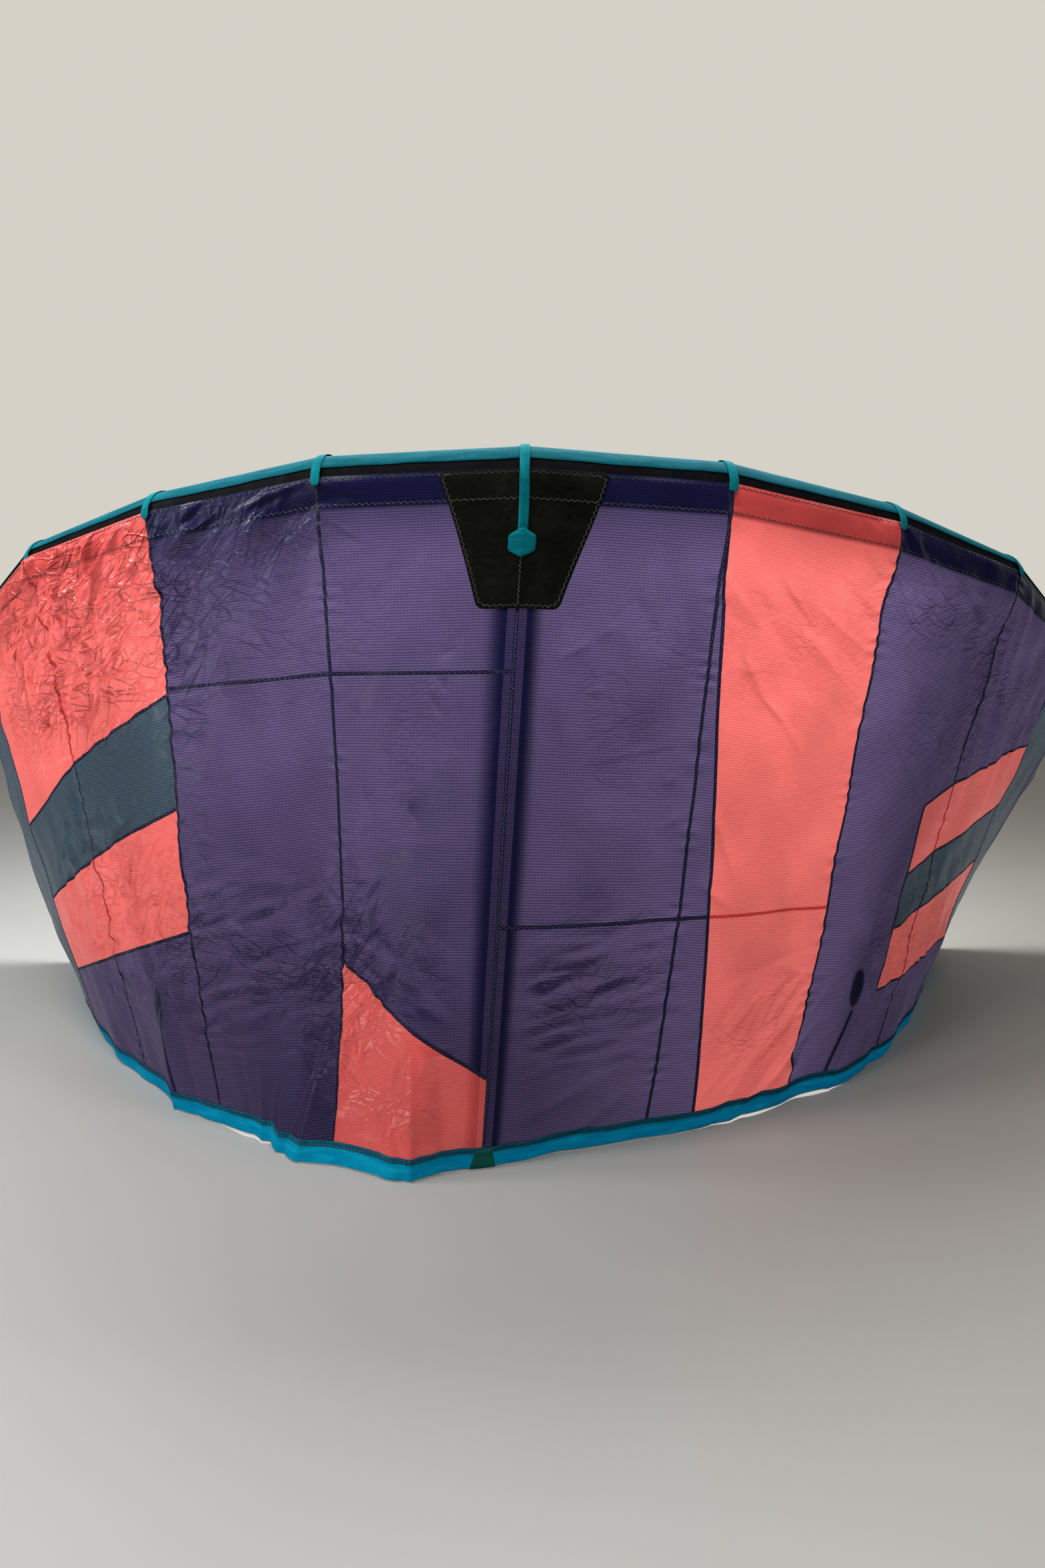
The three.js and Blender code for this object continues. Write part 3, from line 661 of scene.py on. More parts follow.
def grid_lines(tree, place, across, down, width):
    """1 on the thick threads of a woven grid and 0 between them, separately for the two ways."""
    split = node(tree, "SeparateXYZ", {0: place})
    lines = []
    for axis, pitch in enumerate((across, down)):
        off = maths(tree, "PINGPONG", split.outputs[axis], pitch / 2)
        lines.append(spread(tree, off, 1.0, 0.0, width * 0.3, width))
    return lines


def surface(tree, shader, through=None, share=0.0):
    """Ends a material, with a share of the light let through."""
    out = node(tree, "OutputMaterial")
    if through is not None:
        shader = node(tree, "MixShader", {0: share, 1: shader, 2: through}).outputs[0]
    tree.links.new(shader, out.inputs["Surface"])


# Ripstop: distances between its thick threads, their width, how strongly the warp shows, and their height.
RIPSTOP = {"across": 0.0056, "down": 0.0066, "thread": 0.0017, "warp": 0.7, "height": 0.0006}
THIN_CREASES = [  # the way they lie, length and width of the cells between them, patches of them in a metre
    (-54, 0.120, 0.034, 4.0),
    (-28, 0.070, 0.022, 6.0),
    (12, 0.085, 0.030, 5.0),
]
THIN_CREASE_HEIGHT = 0.0056
THIN_CREASE_PAINTED_SHADE = 0.30  # painted shade along a thin crease: the share of the light from behind kept there
CRINKLE_HEIGHT = 0.0012
TAPE_RIB = 0.0018
COATED_WEAVE = 0.0016


def thin_creases(tree, flat, way, length, width, patches):
    """A net of thin straight creases that lie one way, here and there: 1 along each and 0 off it."""
    inputs = {"Vector": flat, "Rotation": (0, 0, math.radians(way)), "Scale": (length, width, 1.0)}
    turned = node(tree, "Mapping", inputs, vector_type="TEXTURE").outputs[0]
    line = spread(tree, cell_edges(tree, turned, 1.0), 1.0, 0.0, 0.0, 0.10)
    shown = spread(tree, noise(tree, flat, patches, 2.0), 0.0, 1.0, 0.44, 0.60)
    return maths(tree, "MULTIPLY", line, shown)


def ripstop(name, front, through, share, roughness, shade, gloss):
    """Coated ripstop: its own colour, and a lighter one where light comes through between its threads."""
    material, tree = new_material(name)
    cloth, flat = uv_place(tree), uv_place(tree, "flat")
    # Painted shade: one attribute takes away the light let through under the tube, by the centre strut, at
    # the wing struts' tails, on the wings and low down.
    painted_shade = node(tree, "Attribute", attribute_name="painted_shade").outputs["Fac"]
    crumple = node(tree, "Attribute", attribute_name="crumple").outputs["Fac"]
    warp, weft = grid_lines(tree, cloth, RIPSTOP["across"], RIPSTOP["down"], RIPSTOP["thread"])
    threads = maths(tree, "MAXIMUM", maths(tree, "MULTIPLY", warp, RIPSTOP["warp"]), weft)
    patchy = spread(tree, noise(tree, flat, 3.5), 0.86, 1.12)
    tone = tinted(tree, blend(tree, threads, rgb(front), rgb(front, 0.5 + 0.5 * shade)), patchy)
    net, creased = 0.0, None
    for row in THIN_CREASES:
        line = thin_creases(tree, flat, *row)
        net = maths(tree, "MAXIMUM", net, line)
        creased = bump(tree, line, crumple, THIN_CREASE_HEIGHT, creased)
    # Painted shade along the thin creases: the light let through is dimmed on them.
    folded = spread(tree, maths(tree, "MULTIPLY", net, crumple), 1.0, THIN_CREASE_PAINTED_SHADE, 0.0, 1.0)
    dimmed = maths(tree, "MULTIPLY", patchy, folded)
    glow = tinted(tree, blend(tree, threads, rgb(through), rgb(through, shade)), dimmed)
    crinkled = bump(tree, noise(tree, flat, 60.0, 2.0), crumple, CRINKLE_HEIGHT, creased)
    grained = bump(tree, threads, 0.15, RIPSTOP["height"], crinkled)
    rough = spread(tree, noise(tree, flat, 40.0), roughness - 0.05, roughness + 0.06)
    face = principled(tree, tone, rough, gloss, grained)
    back = node(tree, "BsdfTranslucent", {"Color": glow, "Normal": crinkled}).outputs[0]
    surface(tree, face, back, spread(tree, painted_shade, share, 0.0, 0.0, 1.0))
    return material


def webbing(name, colour, pale, share=0.0):
    """Woven tape: fine ribs across it, pale worn streaks along it, and a share of the light let through."""
    material, tree = new_material(name)
    cloth = uv_place(tree)
    stretched = node(tree, "Mapping", {"Vector": cloth, "Scale": (9.0, 60.0, 1.0)}).outputs[0]
    streak = spread(tree, noise(tree, stretched, 1.0, 5.0, 0.65), 0.0, 1.0, 0.42, 0.72)
    fleck = spread(tree, noise(tree, cloth, 320.0, 2.0), 0.82, 1.15)
    tone = tinted(tree, blend(tree, streak, rgb(colour), rgb(pale)), fleck)
    warp, weft = grid_lines(tree, cloth, TAPE_RIB, TAPE_RIB, TAPE_RIB * 0.6)
    crinkled = bump(tree, noise(tree, cloth, 45.0, 4.0), 0.35, 0.004)
    grained = bump(tree, maths(tree, "MAXIMUM", warp, weft), 0.4, 0.0005, crinkled)
    back = node(tree, "BsdfTranslucent", {"Color": tone, "Normal": crinkled}).outputs[0] if share else None
    surface(tree, principled(tree, tone, 0.85, 0.02, grained), back, share)
    return material


def coated(name, colour, worn, roughness, crinkle):
    """Heavy plain-woven cloth with a satin coat, paler where it has rubbed."""
    material, tree = new_material(name)
    place = object_place(tree)
    rubbed = spread(tree, noise(tree, place, 14.0, 5.0, 0.6), 0.0, 1.0, 0.45, 0.8)
    tone = blend(tree, rubbed, rgb(colour), rgb(worn))
    warp, weft = grid_lines(tree, uv_place(tree), COATED_WEAVE, COATED_WEAVE, 0.001)
    folded = bump(tree, cell_edges(tree, place, 34.0), crinkle, 0.008)
    crinkled = bump(tree, noise(tree, place, 70.0), crinkle, 0.003, folded)
    grained = bump(tree, maths(tree, "ADD", warp, weft), 0.3, 0.0004, crinkled)
    rough = spread(tree, noise(tree, place, 30.0), roughness - 0.08, roughness + 0.1)
    surface(tree, principled(tree, tone, rough, 0.03, grained))
    return material


def thread(name, colour):
    """Twisted sewing thread, flecked along its length."""
    material, tree = new_material(name)
    twist = spread(tree, noise(tree, object_place(tree), 700.0, 2.0), 0.6, 1.3)
    surface(tree, principled(tree, tinted(tree, rgb(colour), twist), 0.6, 0.5))
    return material


VIOLET = ripstop("canopy_violet", (0.0058, 0.0054, 0.033), (0.155, 0.112, 0.250), 0.42, 0.33, 0.34, 0.08)
CORAL = ripstop("canopy_coral", (0.47, 0.053, 0.051), (0.82, 0.175, 0.162), 0.42, 0.30, 0.72, 0.26)
SLATE = ripstop("canopy_slate", (0.010, 0.018, 0.028), (0.070, 0.112, 0.155), 0.42, 0.32, 0.40, 0.14)
SEAM_DARK = ripstop("canopy_seam_dark", (0.006, 0.006, 0.022), (0.016, 0.014, 0.042), 0.20, 0.42, 0.60, 0.12)
SEAM_CORAL = ripstop("canopy_seam_coral", (0.40, 0.030, 0.024), (0.70, 0.055, 0.045), 0.35, 0.42, 0.80, 0.16)
TUBE_BLACK = coated("tube_cloth", (0.0010, 0.0011, 0.0018), (0.0024, 0.0025, 0.0036), 0.75, 0.12)
PATCH_BLACK = coated("patch_cloth", (0.0022, 0.0022, 0.0015), (0.0060, 0.0060, 0.0046), 0.62, 0.30)
TAPE_TEAL = webbing("edge_tape", (0.0008, 0.048, 0.066), (0.006, 0.080, 0.105))
STRAP_TEAL = webbing("strap", (0.0003, 0.078, 0.098), (0.004, 0.125, 0.145))
HEM_TEAL = webbing("hem_bright", (0.0003, 0.275, 0.465), (0.008, 0.420, 0.600), 0.45)
HEM_DARK = webbing("hem_dark", (0.0005, 0.075, 0.130), (0.004, 0.120, 0.180), 0.15)
HEM_GREEN = webbing("hem_patch", (0.003, 0.060, 0.045), (0.015, 0.105, 0.080))
HEM_CREAM = webbing("hem_edge", (0.30, 0.28, 0.23), (0.40, 0.38, 0.33))
STRUT_VIOLET = coated("strut_cloth", (0.050, 0.041, 0.112), (0.075, 0.064, 0.150), 0.55, 0.10)
STRUT_NAVY = coated("strut_end", (0.006, 0.007, 0.016), (0.016, 0.017, 0.030), 0.5, 0.15)
THREAD_PALE = thread("thread_pale", (0.060, 0.076, 0.068))
THREAD_NAVY = thread("thread_navy", (0.040, 0.040, 0.090))
THREAD_BLUE = thread("thread_blue", (0.07, 0.075, 0.17))


# Canopy


def inside(flat, corners):
    """Whether places laid flat are inside a convex outline, given clockwise or counter-clockwise."""
    s, v = np.array(corners, float).T
    outline = laid_flat(s, v)
    run = np.roll(outline, -1, axis=0) - outline
    offset = flat[:, None] - outline
    side = run[:, 0] * offset[..., 1] - run[:, 1] * offset[..., 0]
    return (side >= 0).all(1) | (side <= 0).all(1)


def colour_of(flat):
    """The index of the cloth at each place laid flat."""
    cloth = np.zeros(len(flat), int)
    for name, corners in BLOCKS:
        cloth[inside(flat, corners)] = CLOTHS.index(name)
    return cloth


def slanted_seams():
    """The seams that don't run down between two panels, laid flat."""
    ends = list(CROSS_SEAMS)
    for _, corners in BLOCKS:
        for one, other in zip(corners, corners[1:] + corners[:1]):
            on_panel_seam = one[0] == other[0] and one[0] == round(one[0])
            on_edge = one[1] == other[1]
            if not on_panel_seam and not on_edge:
                ends.append((one, other))
    return [laid_flat(*np.array(pair, float).T) for pair in ends]


SLANTED = slanted_seams()
COLUMNS = (22, 22, 92, 150, 100, 76, 72, 72, 70, 40, 22, 22)  # columns of each panel from the left tip
ROWS = ((-1, 0, 18), (0, 0.4, 140), (0.4, 0.65, 46), (0.65, 1, 80))  # between two levels, so many rows
SHEETS = {"left": (-6, -2), "centre": (-2, 2), "right": (2, 6)}  # first and last seam of a mesh of the canopy
CANOPY_CLOTHS = (VIOLET, CORAL, SLATE, SEAM_DARK, SEAM_CORAL)
CORAL_PLACE, SEAM_DARK_PLACE, SEAM_CORAL_PLACE = 1, 3, 4  # their places in that list
TUCK = 0.036  # the canopy ends this high, inside its binding
CUT_REACH = {"side": 0.04, "end": 0.004}  # how far from a slanted seam its cut may reach

# How strongly thin creases show: at least, for a metre of facet height, where they start to, and at most.
CRINKLES = {"least": 0.03, "for_metre": 100, "start": (-0.05, 0.35), "most": 0.85}
# Shares of that lost beside the centre strut and on the tube, and where the tube's share fades.
CRINKLES_LOST = {"strut": 0.85, "tube": 0.7, "y": (-0.02, 0.10), "stations": (-2.1, -1.9)}

# Painted shade, where light from behind is taken away: under the tube and beside the centre strut, which cast
# no shadow themselves, at the wing struts' tails, on the wings and low down. Levels or stations over which
# that changes, and shares of the light.
TUBE_PAINTED_SHADE = {"from": -0.15, "to": 0.10, "left": 0.10, "stations": (-1.2, -0.9), "curve": 1.5}
STRUT_PAINTED_SHADE = {"over": 0.60, "edge": 0.030, "sides": (0.080, 0.066), "levels": (0.05, 0.12)}
# painted shade on the wings, more on the right than on the left
WING_PAINTED_SHADE = {"sides": (0.12, 0.52), "stations": (1.9, 2.8)}
# painted shade low down, at the left and the centre
LOW_PAINTED_SHADE = {"share": 0.42, "levels": (0.45, 0.95), "stations": (0.3, 1.3)}
TAIL_PLACES = [(-2.42, 0.81), (2.44, 0.80)]  # where the wing struts' tails lie close behind the cloth, each with a painted shadow on it
TAIL_PAINTED_SHADOW = {"half": 0.028, "height": 0.060, "fades": (0.8, 1.1)}


def station_columns(first=-SEAMS, last=SEAMS):
    """Columns of stations from one seam to another, with one on each side of every seam."""
    edge = SEAM_HALF / PANEL
    stations = [first]
    for k in range(first, last):
        inner = np.linspace(k + edge, k + 1 - edge, COLUMNS[k + SEAMS])
        stations += [*inner, k + 1]
    band = STRUT_RIDGE["flat"] / PANEL
    marks = [side * band + gap for side in (-1, 1) for gap in (-0.002, 0.002)]
    stations += [s for s in marks if first < s < last]
    return np.array(sorted(stations), float)


def cut_seam(mesh, ends):
    """Cuts the flat canopy along both sides of a straight seam."""
    start, end = (Vector((*p, 0)) for p in ends)
    run = (end - start).normalized()
    side = Vector((-run.y, run.x, 0))
    length = (end - start).length
    for half in (-SEAM_HALF, SEAM_HALF):
        faces = []
        for face in mesh.faces:
            offset = face.calc_center_median() - start
            beside = abs(offset.dot(side)) < CUT_REACH["side"]
            if beside and -CUT_REACH["end"] < offset.dot(run) < length + CUT_REACH["end"]:
                faces.append(face)
        edges = {edge for face in faces for edge in face.edges}
        points = {point for face in faces for point in face.verts}
        bmesh.ops.bisect_plane(
            mesh, geom=[*faces, *edges, *points], dist=1e-5, plane_co=start + side * half, plane_no=side
        )


def make_canopy(name, first, last):
    """The canopy between two seams, cut along its slanted seams."""
    s = station_columns(first, last)
    rows = [np.linspace(low, high, count + 1)[1:] for low, high, count in ROWS]
    rows = np.concatenate([[-1], *rows])[:, None]
    v = np.where(rows < 0, rows, rows * above_floor(s, TUCK))
    flat = laid_flat(*np.broadcast_arrays(s, v))
    corners = np.concatenate([flat, np.zeros((*v.shape, 1))], -1)
    mesh = new_mesh(f"canopy_{name}", corners, grid_faces(*v.shape), CANOPY_CLOTHS)
    build = bmesh.new()
    build.from_mesh(mesh)
    for ends in SLANTED:
        cut_seam(build, ends)
    bmesh.ops.triangulate(build, faces=[face for face in build.faces if len(face.verts) > 4])
    build.to_mesh(mesh)
    build.free()

    flat = read(mesh.vertices, "co", 3)[:, :2]
    centre = read(mesh.polygons, "center", 3)[:, :2]
    vertex = read(mesh.loops, "vertex_index", kind=np.int32)
    sizes = read(mesh.polygons, "loop_total", kind=np.int32)
    s, v = stood_up(flat)
    mesh.polygons.foreach_set("material_index", cloth_pieces(centre).astype(np.int32))
    add_uv(mesh, "cloth", weave_places(s, v, centre, vertex, sizes))
    add_uv(mesh, "flat", flat[vertex])
    # Each point's crumple, and its painted shade in the light from behind.
    for key, values in (("crumple", crumpled(flat)), ("painted_shade", painted_shade_from_behind(flat[:, 0], v))):
        mesh.attributes.new(key, "FLOAT", "POINT").data.foreach_set("value", values)
    mesh.vertices.foreach_set("co", skin(s, v).ravel())
    mesh.update()
    return dress(mesh, numbered("panel", first + SEAMS + 1, last + SEAMS))


def cloth_pieces(centre):
    """Which material each face of the canopy has: a cloth, or a sewn seam."""
    material = colour_of(centre)
    lines = list(SLANTED)
    for k in range(1 - SEAMS, SEAMS):
        lines.append(laid_flat(np.array([k, k], float), np.array([-1.0, 1.0])))
    for start, end in lines:
        run = (end - start) / np.linalg.norm(end - start)
        side = np.array([-run[1], run[0]])
        offset = centre - start
        along = offset @ run
        sewn = np.abs(offset @ side) < SEAM_HALF
        sewn &= (along > 0) & (along < np.linalg.norm(end - start))
        places = start + along[sewn, None] * run
        clear = 3 * SEAM_HALF * side
        coral = CORAL_PLACE == colour_of(places + clear)
        coral &= CORAL_PLACE == colour_of(places - clear)
        material[sewn] = np.where(coral, SEAM_CORAL_PLACE, SEAM_DARK_PLACE)
    return material


def weave_places(s, v, centre, vertex, sizes):
    """Each face corner's place on its own panel's weave, in metres."""
    panel = np.repeat(np.floor(centre[:, 0] / PANEL), sizes)
    corner_s, corner_v = s[vertex], v[vertex]
    seam = np.ceil(s + 1e-6)
    width = np.linalg.norm(base(seam, v) - base(seam - 1, v), axis=1)[vertex]
    height = on_tube(s, CANOPY_SEAM, 0)[:, 2][vertex]
    down = np.where(corner_v < 0, corner_v * WRAP, corner_v * height)
    return np.stack([(corner_s - panel - 0.5) * width, down], -1)


def crumpled(flat):
    """How strongly thin creases show, and how much painted shade they take, from nearly smooth cloth to fully
    crumpled cloth.
    """
    amount = np.full(len(flat), CRINKLES["least"])
    for middle, reach, _, crests in FACETS:
        offset = (flat - middle) / reach
        amount += CRINKLES["for_metre"] * crests.std() * np.exp(-2 * (offset**2).sum(1))
    amount = np.clip(amount * smooth(amount, *CRINKLES["start"]), 0, CRINKLES["most"])
    on_tube_cloth = 1 - smooth(flat[:, 1], *CRINKLES_LOST["y"])
    on_tube_cloth *= smooth(flat[:, 0] / PANEL, *CRINKLES_LOST["stations"])
    amount *= 1 - CRINKLES_LOST["strut"] * beside_strut(flat[:, 0])
    return amount * (1 - CRINKLES_LOST["tube"] * on_tube_cloth)


def painted_shade_from_behind(x, v):
    """Painted shade: how much light from behind is taken away, under the tube, over and beside the centre
    strut, at the wing struts' tails, on the wings and low down.
    """
    s = x / PANEL
    clear = TUBE_PAINTED_SHADE["to"] + TUBE_PAINTED_SHADE["left"] * (1 - smooth(s, *TUBE_PAINTED_SHADE["stations"]))
    tube = 1 - smooth(v, TUBE_PAINTED_SHADE["from"], clear) ** TUBE_PAINTED_SHADE["curve"]
    beside = 1 - smooth(np.abs(x), STRUT_PAINTED_SHADE["edge"], np.where(x < 0, *STRUT_PAINTED_SHADE["sides"]))
    over = np.where(np.abs(x) < STRUT_RIDGE["flat"], STRUT_PAINTED_SHADE["over"], beside)
    strut = over * smooth(v, *STRUT_PAINTED_SHADE["levels"])
    wings = np.where(x < 0, *WING_PAINTED_SHADE["sides"]) * smooth(np.abs(s), *WING_PAINTED_SHADE["stations"])
    low = LOW_PAINTED_SHADE["share"] * smooth(v, *LOW_PAINTED_SHADE["levels"]) * (1 - smooth(s, *LOW_PAINTED_SHADE["stations"]))
    held = [tube, strut, wings, low]
    for station, level in TAIL_PLACES:
        across, down = x - station * PANEL, (v - level) * CHORD
        away = np.hypot(across / TAIL_PAINTED_SHADOW["half"], down / TAIL_PAINTED_SHADOW["height"])
        held.append(1 - smooth(away, *TAIL_PAINTED_SHADOW["fades"]))
    return np.maximum.reduce(held)


# Leading edge

TUBE_SIDES = 56
TUBE_ROWS = 14  # rings of one stretch
# At a seam the tube is drawn in, and its puckers are full this share of a stretch away from it.
TUBE_PINCH = {"reach": 0.030, "depth": 0.0010, "puckers": 16, "height": 0.0010, "full": 0.1}
TUBE_GIRTH = 0.08  # a radius for the weave's places round the tube
TIP_RINGS = 5
TIP_REACH, TIP_END = 0.6, 0.02  # how far the tube's rounded end stands out, and where it is closed, in radii


def tip_rings(end, before, angle):
    """Rings that round off the tube past one tip."""
    along = unit(AXIS[end] - AXIS[before])
    rim = on_tube(SEAMS if end else -SEAMS, angle, 0) - AXIS[end]
    turn = np.linspace(0, np.pi / 2, TIP_RINGS + 1)[1:, None, None]
    out = along * RADIUS[end] * TIP_REACH * np.sin(turn)
    return AXIS[end] + rim * np.maximum(np.cos(turn), TIP_END) + out


def make_tube():
    """The inflated tube, drawn in a little at each seam and rounded at the tips."""
    s = np.linspace(-SEAMS, SEAMS, 2 * SEAMS * TUBE_ROWS + 1)[:, None]
    angle = np.linspace(0, 2 * np.pi, TUBE_SIDES, endpoint=False)
    seam = np.round(s)
    near = np.exp(-(((s - seam) * SEGMENT / TUBE_PINCH["reach"]) ** 2))
    pucker = np.cos(TUBE_PINCH["puckers"] * angle + 5 * seam) * np.abs(s - seam) / TUBE_PINCH["full"]
    off = -near * (TUBE_PINCH["depth"] + TUBE_PINCH["height"] * np.clip(pucker, -1, 1))
    left, right = tip_rings(0, 1, angle), tip_rings(-1, -2, angle)
    points = np.concatenate([left[::-1], on_tube(s, angle, off), right])
    along = np.arange(len(points))[:, None] * SEGMENT / TUBE_ROWS
    uv = np.stack(np.broadcast_arrays(along, angle * TUBE_GIRTH), -1)
    faces = capped_faces(len(points), TUBE_SIDES)
    obj = piece("leading_tube", points, faces, [TUBE_BLACK], numbered("tube"), uv)
    # Casts no shadow: its shade on the canopy is painted there instead.
    obj.visible_shadow = False


TAPE = {"top": math.radians(72), "foot": math.radians(36), "off": 0.0014, "thick": 0.0012, "width": 0.05}
TAPE_ROWS, TAPE_COLUMNS = 9, 480
TAPE_WANDER = [(0.012, 9, 0), (0.008, 23, 1)]  # waves along its edges: height as an angle, number, phase


def make_edge_tape():
    """The tape sewn along the top of the tube."""
    s = np.linspace(-SEAMS, SEAMS, TAPE_COLUMNS)
    wander = sum(height * np.sin(number * s + phase) for height, number, phase in TAPE_WANDER)
    share = np.linspace(0, 1, TAPE_ROWS)[:, None]
    angle = TAPE["top"] + wander + share * (TAPE["foot"] - TAPE["top"])
    outer, inner = (on_tube(s, angle, TAPE["off"] + rise) for rise in (TAPE["thick"], 0))
    uv = np.stack(np.broadcast_arrays(s * SEGMENT, share * TAPE["width"]), -1)
    obj = strip("edge_band", outer, inner, uv, TAPE_TEAL, "tape", ["edge_tape"])


STRAP = {"half": 0.011, "off": 0.0042, "thick": 0.0012, "top": math.radians(108), "foot": math.radians(3)}
STRAP_ROWS, STRAP_COLUMNS = 44, 7
STRAP_RISE = math.radians(40)  # the angle from which a strap rises over the canopy's edge
CENTRE_STRAP = {"from": -0.70, "rows": 24, "length": 0.14}  # the rest of the centre strap, down to its tab
TAB = {"level": 0.058, "radius": 0.034, "corner": 0.965, "off": 0.0006, "crown": 0.0014, "thick": 0.0012}
TAB_RINGS, TAB_SIDES = 8, 48


def make_strap(k):
    """A strap over the tube at one seam, with a rounded end; the centre one runs on down to its tab."""
    share = np.linspace(0, 1, STRAP_ROWS)[:, None]
    angle = STRAP["top"] + share * (STRAP["foot"] - STRAP["top"])
    length = (STRAP["top"] - STRAP["foot"]) * (RADIUS[SEAMS + k] + CLOTH_OFF)
    across = np.linspace(-1, 1, STRAP_COLUMNS) * STRAP["half"]
    to_end = np.minimum((1 - share) * length / STRAP["half"], 1)
    round_end = np.sqrt(np.clip(1 - (1 - to_end) ** 2, 0.01, 1)) if k else np.ones_like(share)
    s = k + across * round_end / SEGMENT
    off = CLOTH_OFF * smooth(-angle, -STRAP_RISE, -CANOPY_EDGE) + STRAP["off"]
    sides = [on_tube(s, angle, off + STRAP["thick"]), on_tube(s, angle, off)]
    if k == 0:
        v = np.linspace(CENTRE_STRAP["from"], TAB["level"], CENTRE_STRAP["rows"])[:, None]
        offs = STRAP["off"] + STRAP["thick"], STRAP["off"]
        sides = [np.vstack([side, skin(across / SEGMENT, v, off)]) for side, off in zip(sides, offs)]
        length += CENTRE_STRAP["length"]
    along = np.linspace(0, length, len(sides[0]))[:, None]
    uv = np.stack(np.broadcast_arrays(along, across + k), -1)
    number = k + SEAMS
    obj = strip(f"seam_strap_{number}", *sides, uv, STRAP_TEAL, "tape", [f"strap_{number}"])


PATCH = {"top": 0.184, "foot": 0.092, "from": -0.97, "to": 0.157, "corner": 0.016}  # half widths, levels
PATCH_OFF, PATCH_THICK = 0.0015, 0.0015


def patch_places(rows, columns, inset=0.0):
    """Places on the centre patch: a trapezoid with rounded corners."""
    top, foot = PATCH["from"] * WRAP + inset, PATCH["to"] * CHORD - inset
    corner = PATCH["corner"]
    edge = corner * np.linspace(0, 1, 6) ** 2
    y = np.unique(np.concatenate([np.linspace(top, foot, rows), top + edge, foot - edge]))
    share = (y - top) / (foot - top)
    half = PATCH["top"] + share * (PATCH["foot"] - PATCH["top"]) - inset
    lack = np.clip(1 - np.minimum(y - top, foot - y) / corner, 0, 1)
    half = half - corner * (1 - np.sqrt(1 - lack**2))
    x = half[:, None] * np.linspace(-1, 1, columns)
    return np.stack([x, np.broadcast_to(y[:, None], x.shape)], -1)


def make_patch():
    s, v = stood_up(patch_places(46, 49))
    obj = slab("patch_sheet", s, v, PATCH_OFF, PATCH_THICK, PATCH_BLACK, "patch_cloth", ["centre_patch"])


def make_tab():
    """The small hexagon that ends the centre strap, with softened corners."""
    turn = np.linspace(0, 2 * np.pi, TAB_SIDES, endpoint=False)
    wedge = np.mod(turn, np.pi / 3) - np.pi / 6
    reach = TAB["radius"] * np.minimum(np.cos(np.pi / 6) / np.cos(wedge), TAB["corner"])
    rings = np.linspace(0.02, 1, TAB_RINGS)[:, None]
    x, y = rings * reach * np.sin(turn), TAB["level"] * CHORD + rings * reach * np.cos(turn)
    flat = np.stack([x, y], -1)
    s, v = stood_up(flat)
    off = STRAP["off"] + STRAP["thick"] + TAB["off"]
    outer = skin(s, v, off + TAB["crown"] * np.sqrt(np.clip(1 - rings**6, 0, 1)))
    points = np.concatenate([outer, skin(s[-1:], v[-1:], off - TAB["thick"])])
    uv = np.concatenate([flat, flat[-1:]])
    faces = capped_faces(TAB_RINGS + 1, TAB_SIDES)
    obj = piece("tab_sheet", points, faces, [STRAP_TEAL], ["centre_tab"], uv)


# Trailing edge

HEM = 0.055
HEM_SEAM = 0.014  # the darker sewn part of the binding
HEM_OUT, HEM_IN = 0.0016, -0.0022
HEM_HEIGHTS = (HEM, HEM - 0.004, HEM - HEM_SEAM, HEM - HEM_SEAM - 0.001, 0.034, 0.026, 0.018, 0.010, 0.004)
HEM_FOLD = {"height": 0.0012, "out": 0.0008, "in": -0.0012}  # the binding's foot
HEM_PATCH = {"top": 0.049, "foot": 0.004, "halves": (0.023, 0.037), "off": 0.0006, "thick": 0.0012}


def make_binding():
    """The tape folded round the trailing edge: sewn darker along its top, bright below, cream at its foot."""
    s = station_columns()
    rows = len(HEM_HEIGHTS)
    heights = np.array([*HEM_HEIGHTS, *2 * [HEM_FOLD["height"]], *HEM_HEIGHTS[::-1]])[:, None]
    offs = np.array([*rows * [HEM_OUT], HEM_FOLD["out"], HEM_FOLD["in"], *rows * [HEM_IN]])[:, None]
    v = above_floor(s, heights)
    run = np.cumsum(np.r_[0, np.abs(np.diff(heights[:, 0]))])[:, None]
    uv = np.stack(np.broadcast_arrays(s * PANEL, run), -1)
    faces = grid_faces(*v.shape)
    row = np.arange(len(faces)) // (len(s) - 1)
    sewn = (row < 2) | (row > len(heights) - 4)
    foot = np.abs(row - rows) < 2
    cloth = np.where(foot, 2, np.where(sewn, 1, 0))
    cloths = [HEM_TEAL, HEM_DARK, HEM_CREAM]
    obj = piece("hem_binding", skin(s, v, offs), faces, cloths, numbered("binding"), uv, cloth)


def make_hem_patch():
    """The small trapezoid sewn on the binding at the centre seam."""
    share = np.linspace(0, 1, 10)[:, None]
    height = HEM_PATCH["top"] + share * (HEM_PATCH["foot"] - HEM_PATCH["top"])
    top, foot = HEM_PATCH["halves"]
    x = (top + share * (foot - top)) * np.linspace(-1, 1, 11)
    s = x / PANEL
    uv = np.stack(np.broadcast_arrays(x, height), -1)
    off, thick = HEM_OUT + HEM_PATCH["off"], HEM_PATCH["thick"]
    v = above_floor(s, height)
    obj = slab("hem_patch_sheet", s, v, off, thick, HEM_GREEN, "hem_patch_cloth", ["hem_patch"], uv)


TIP_TAPE = {"width": 0.032, "from": -0.9, "foot": 0.057, "off": 0.0006, "thick": 0.0012}


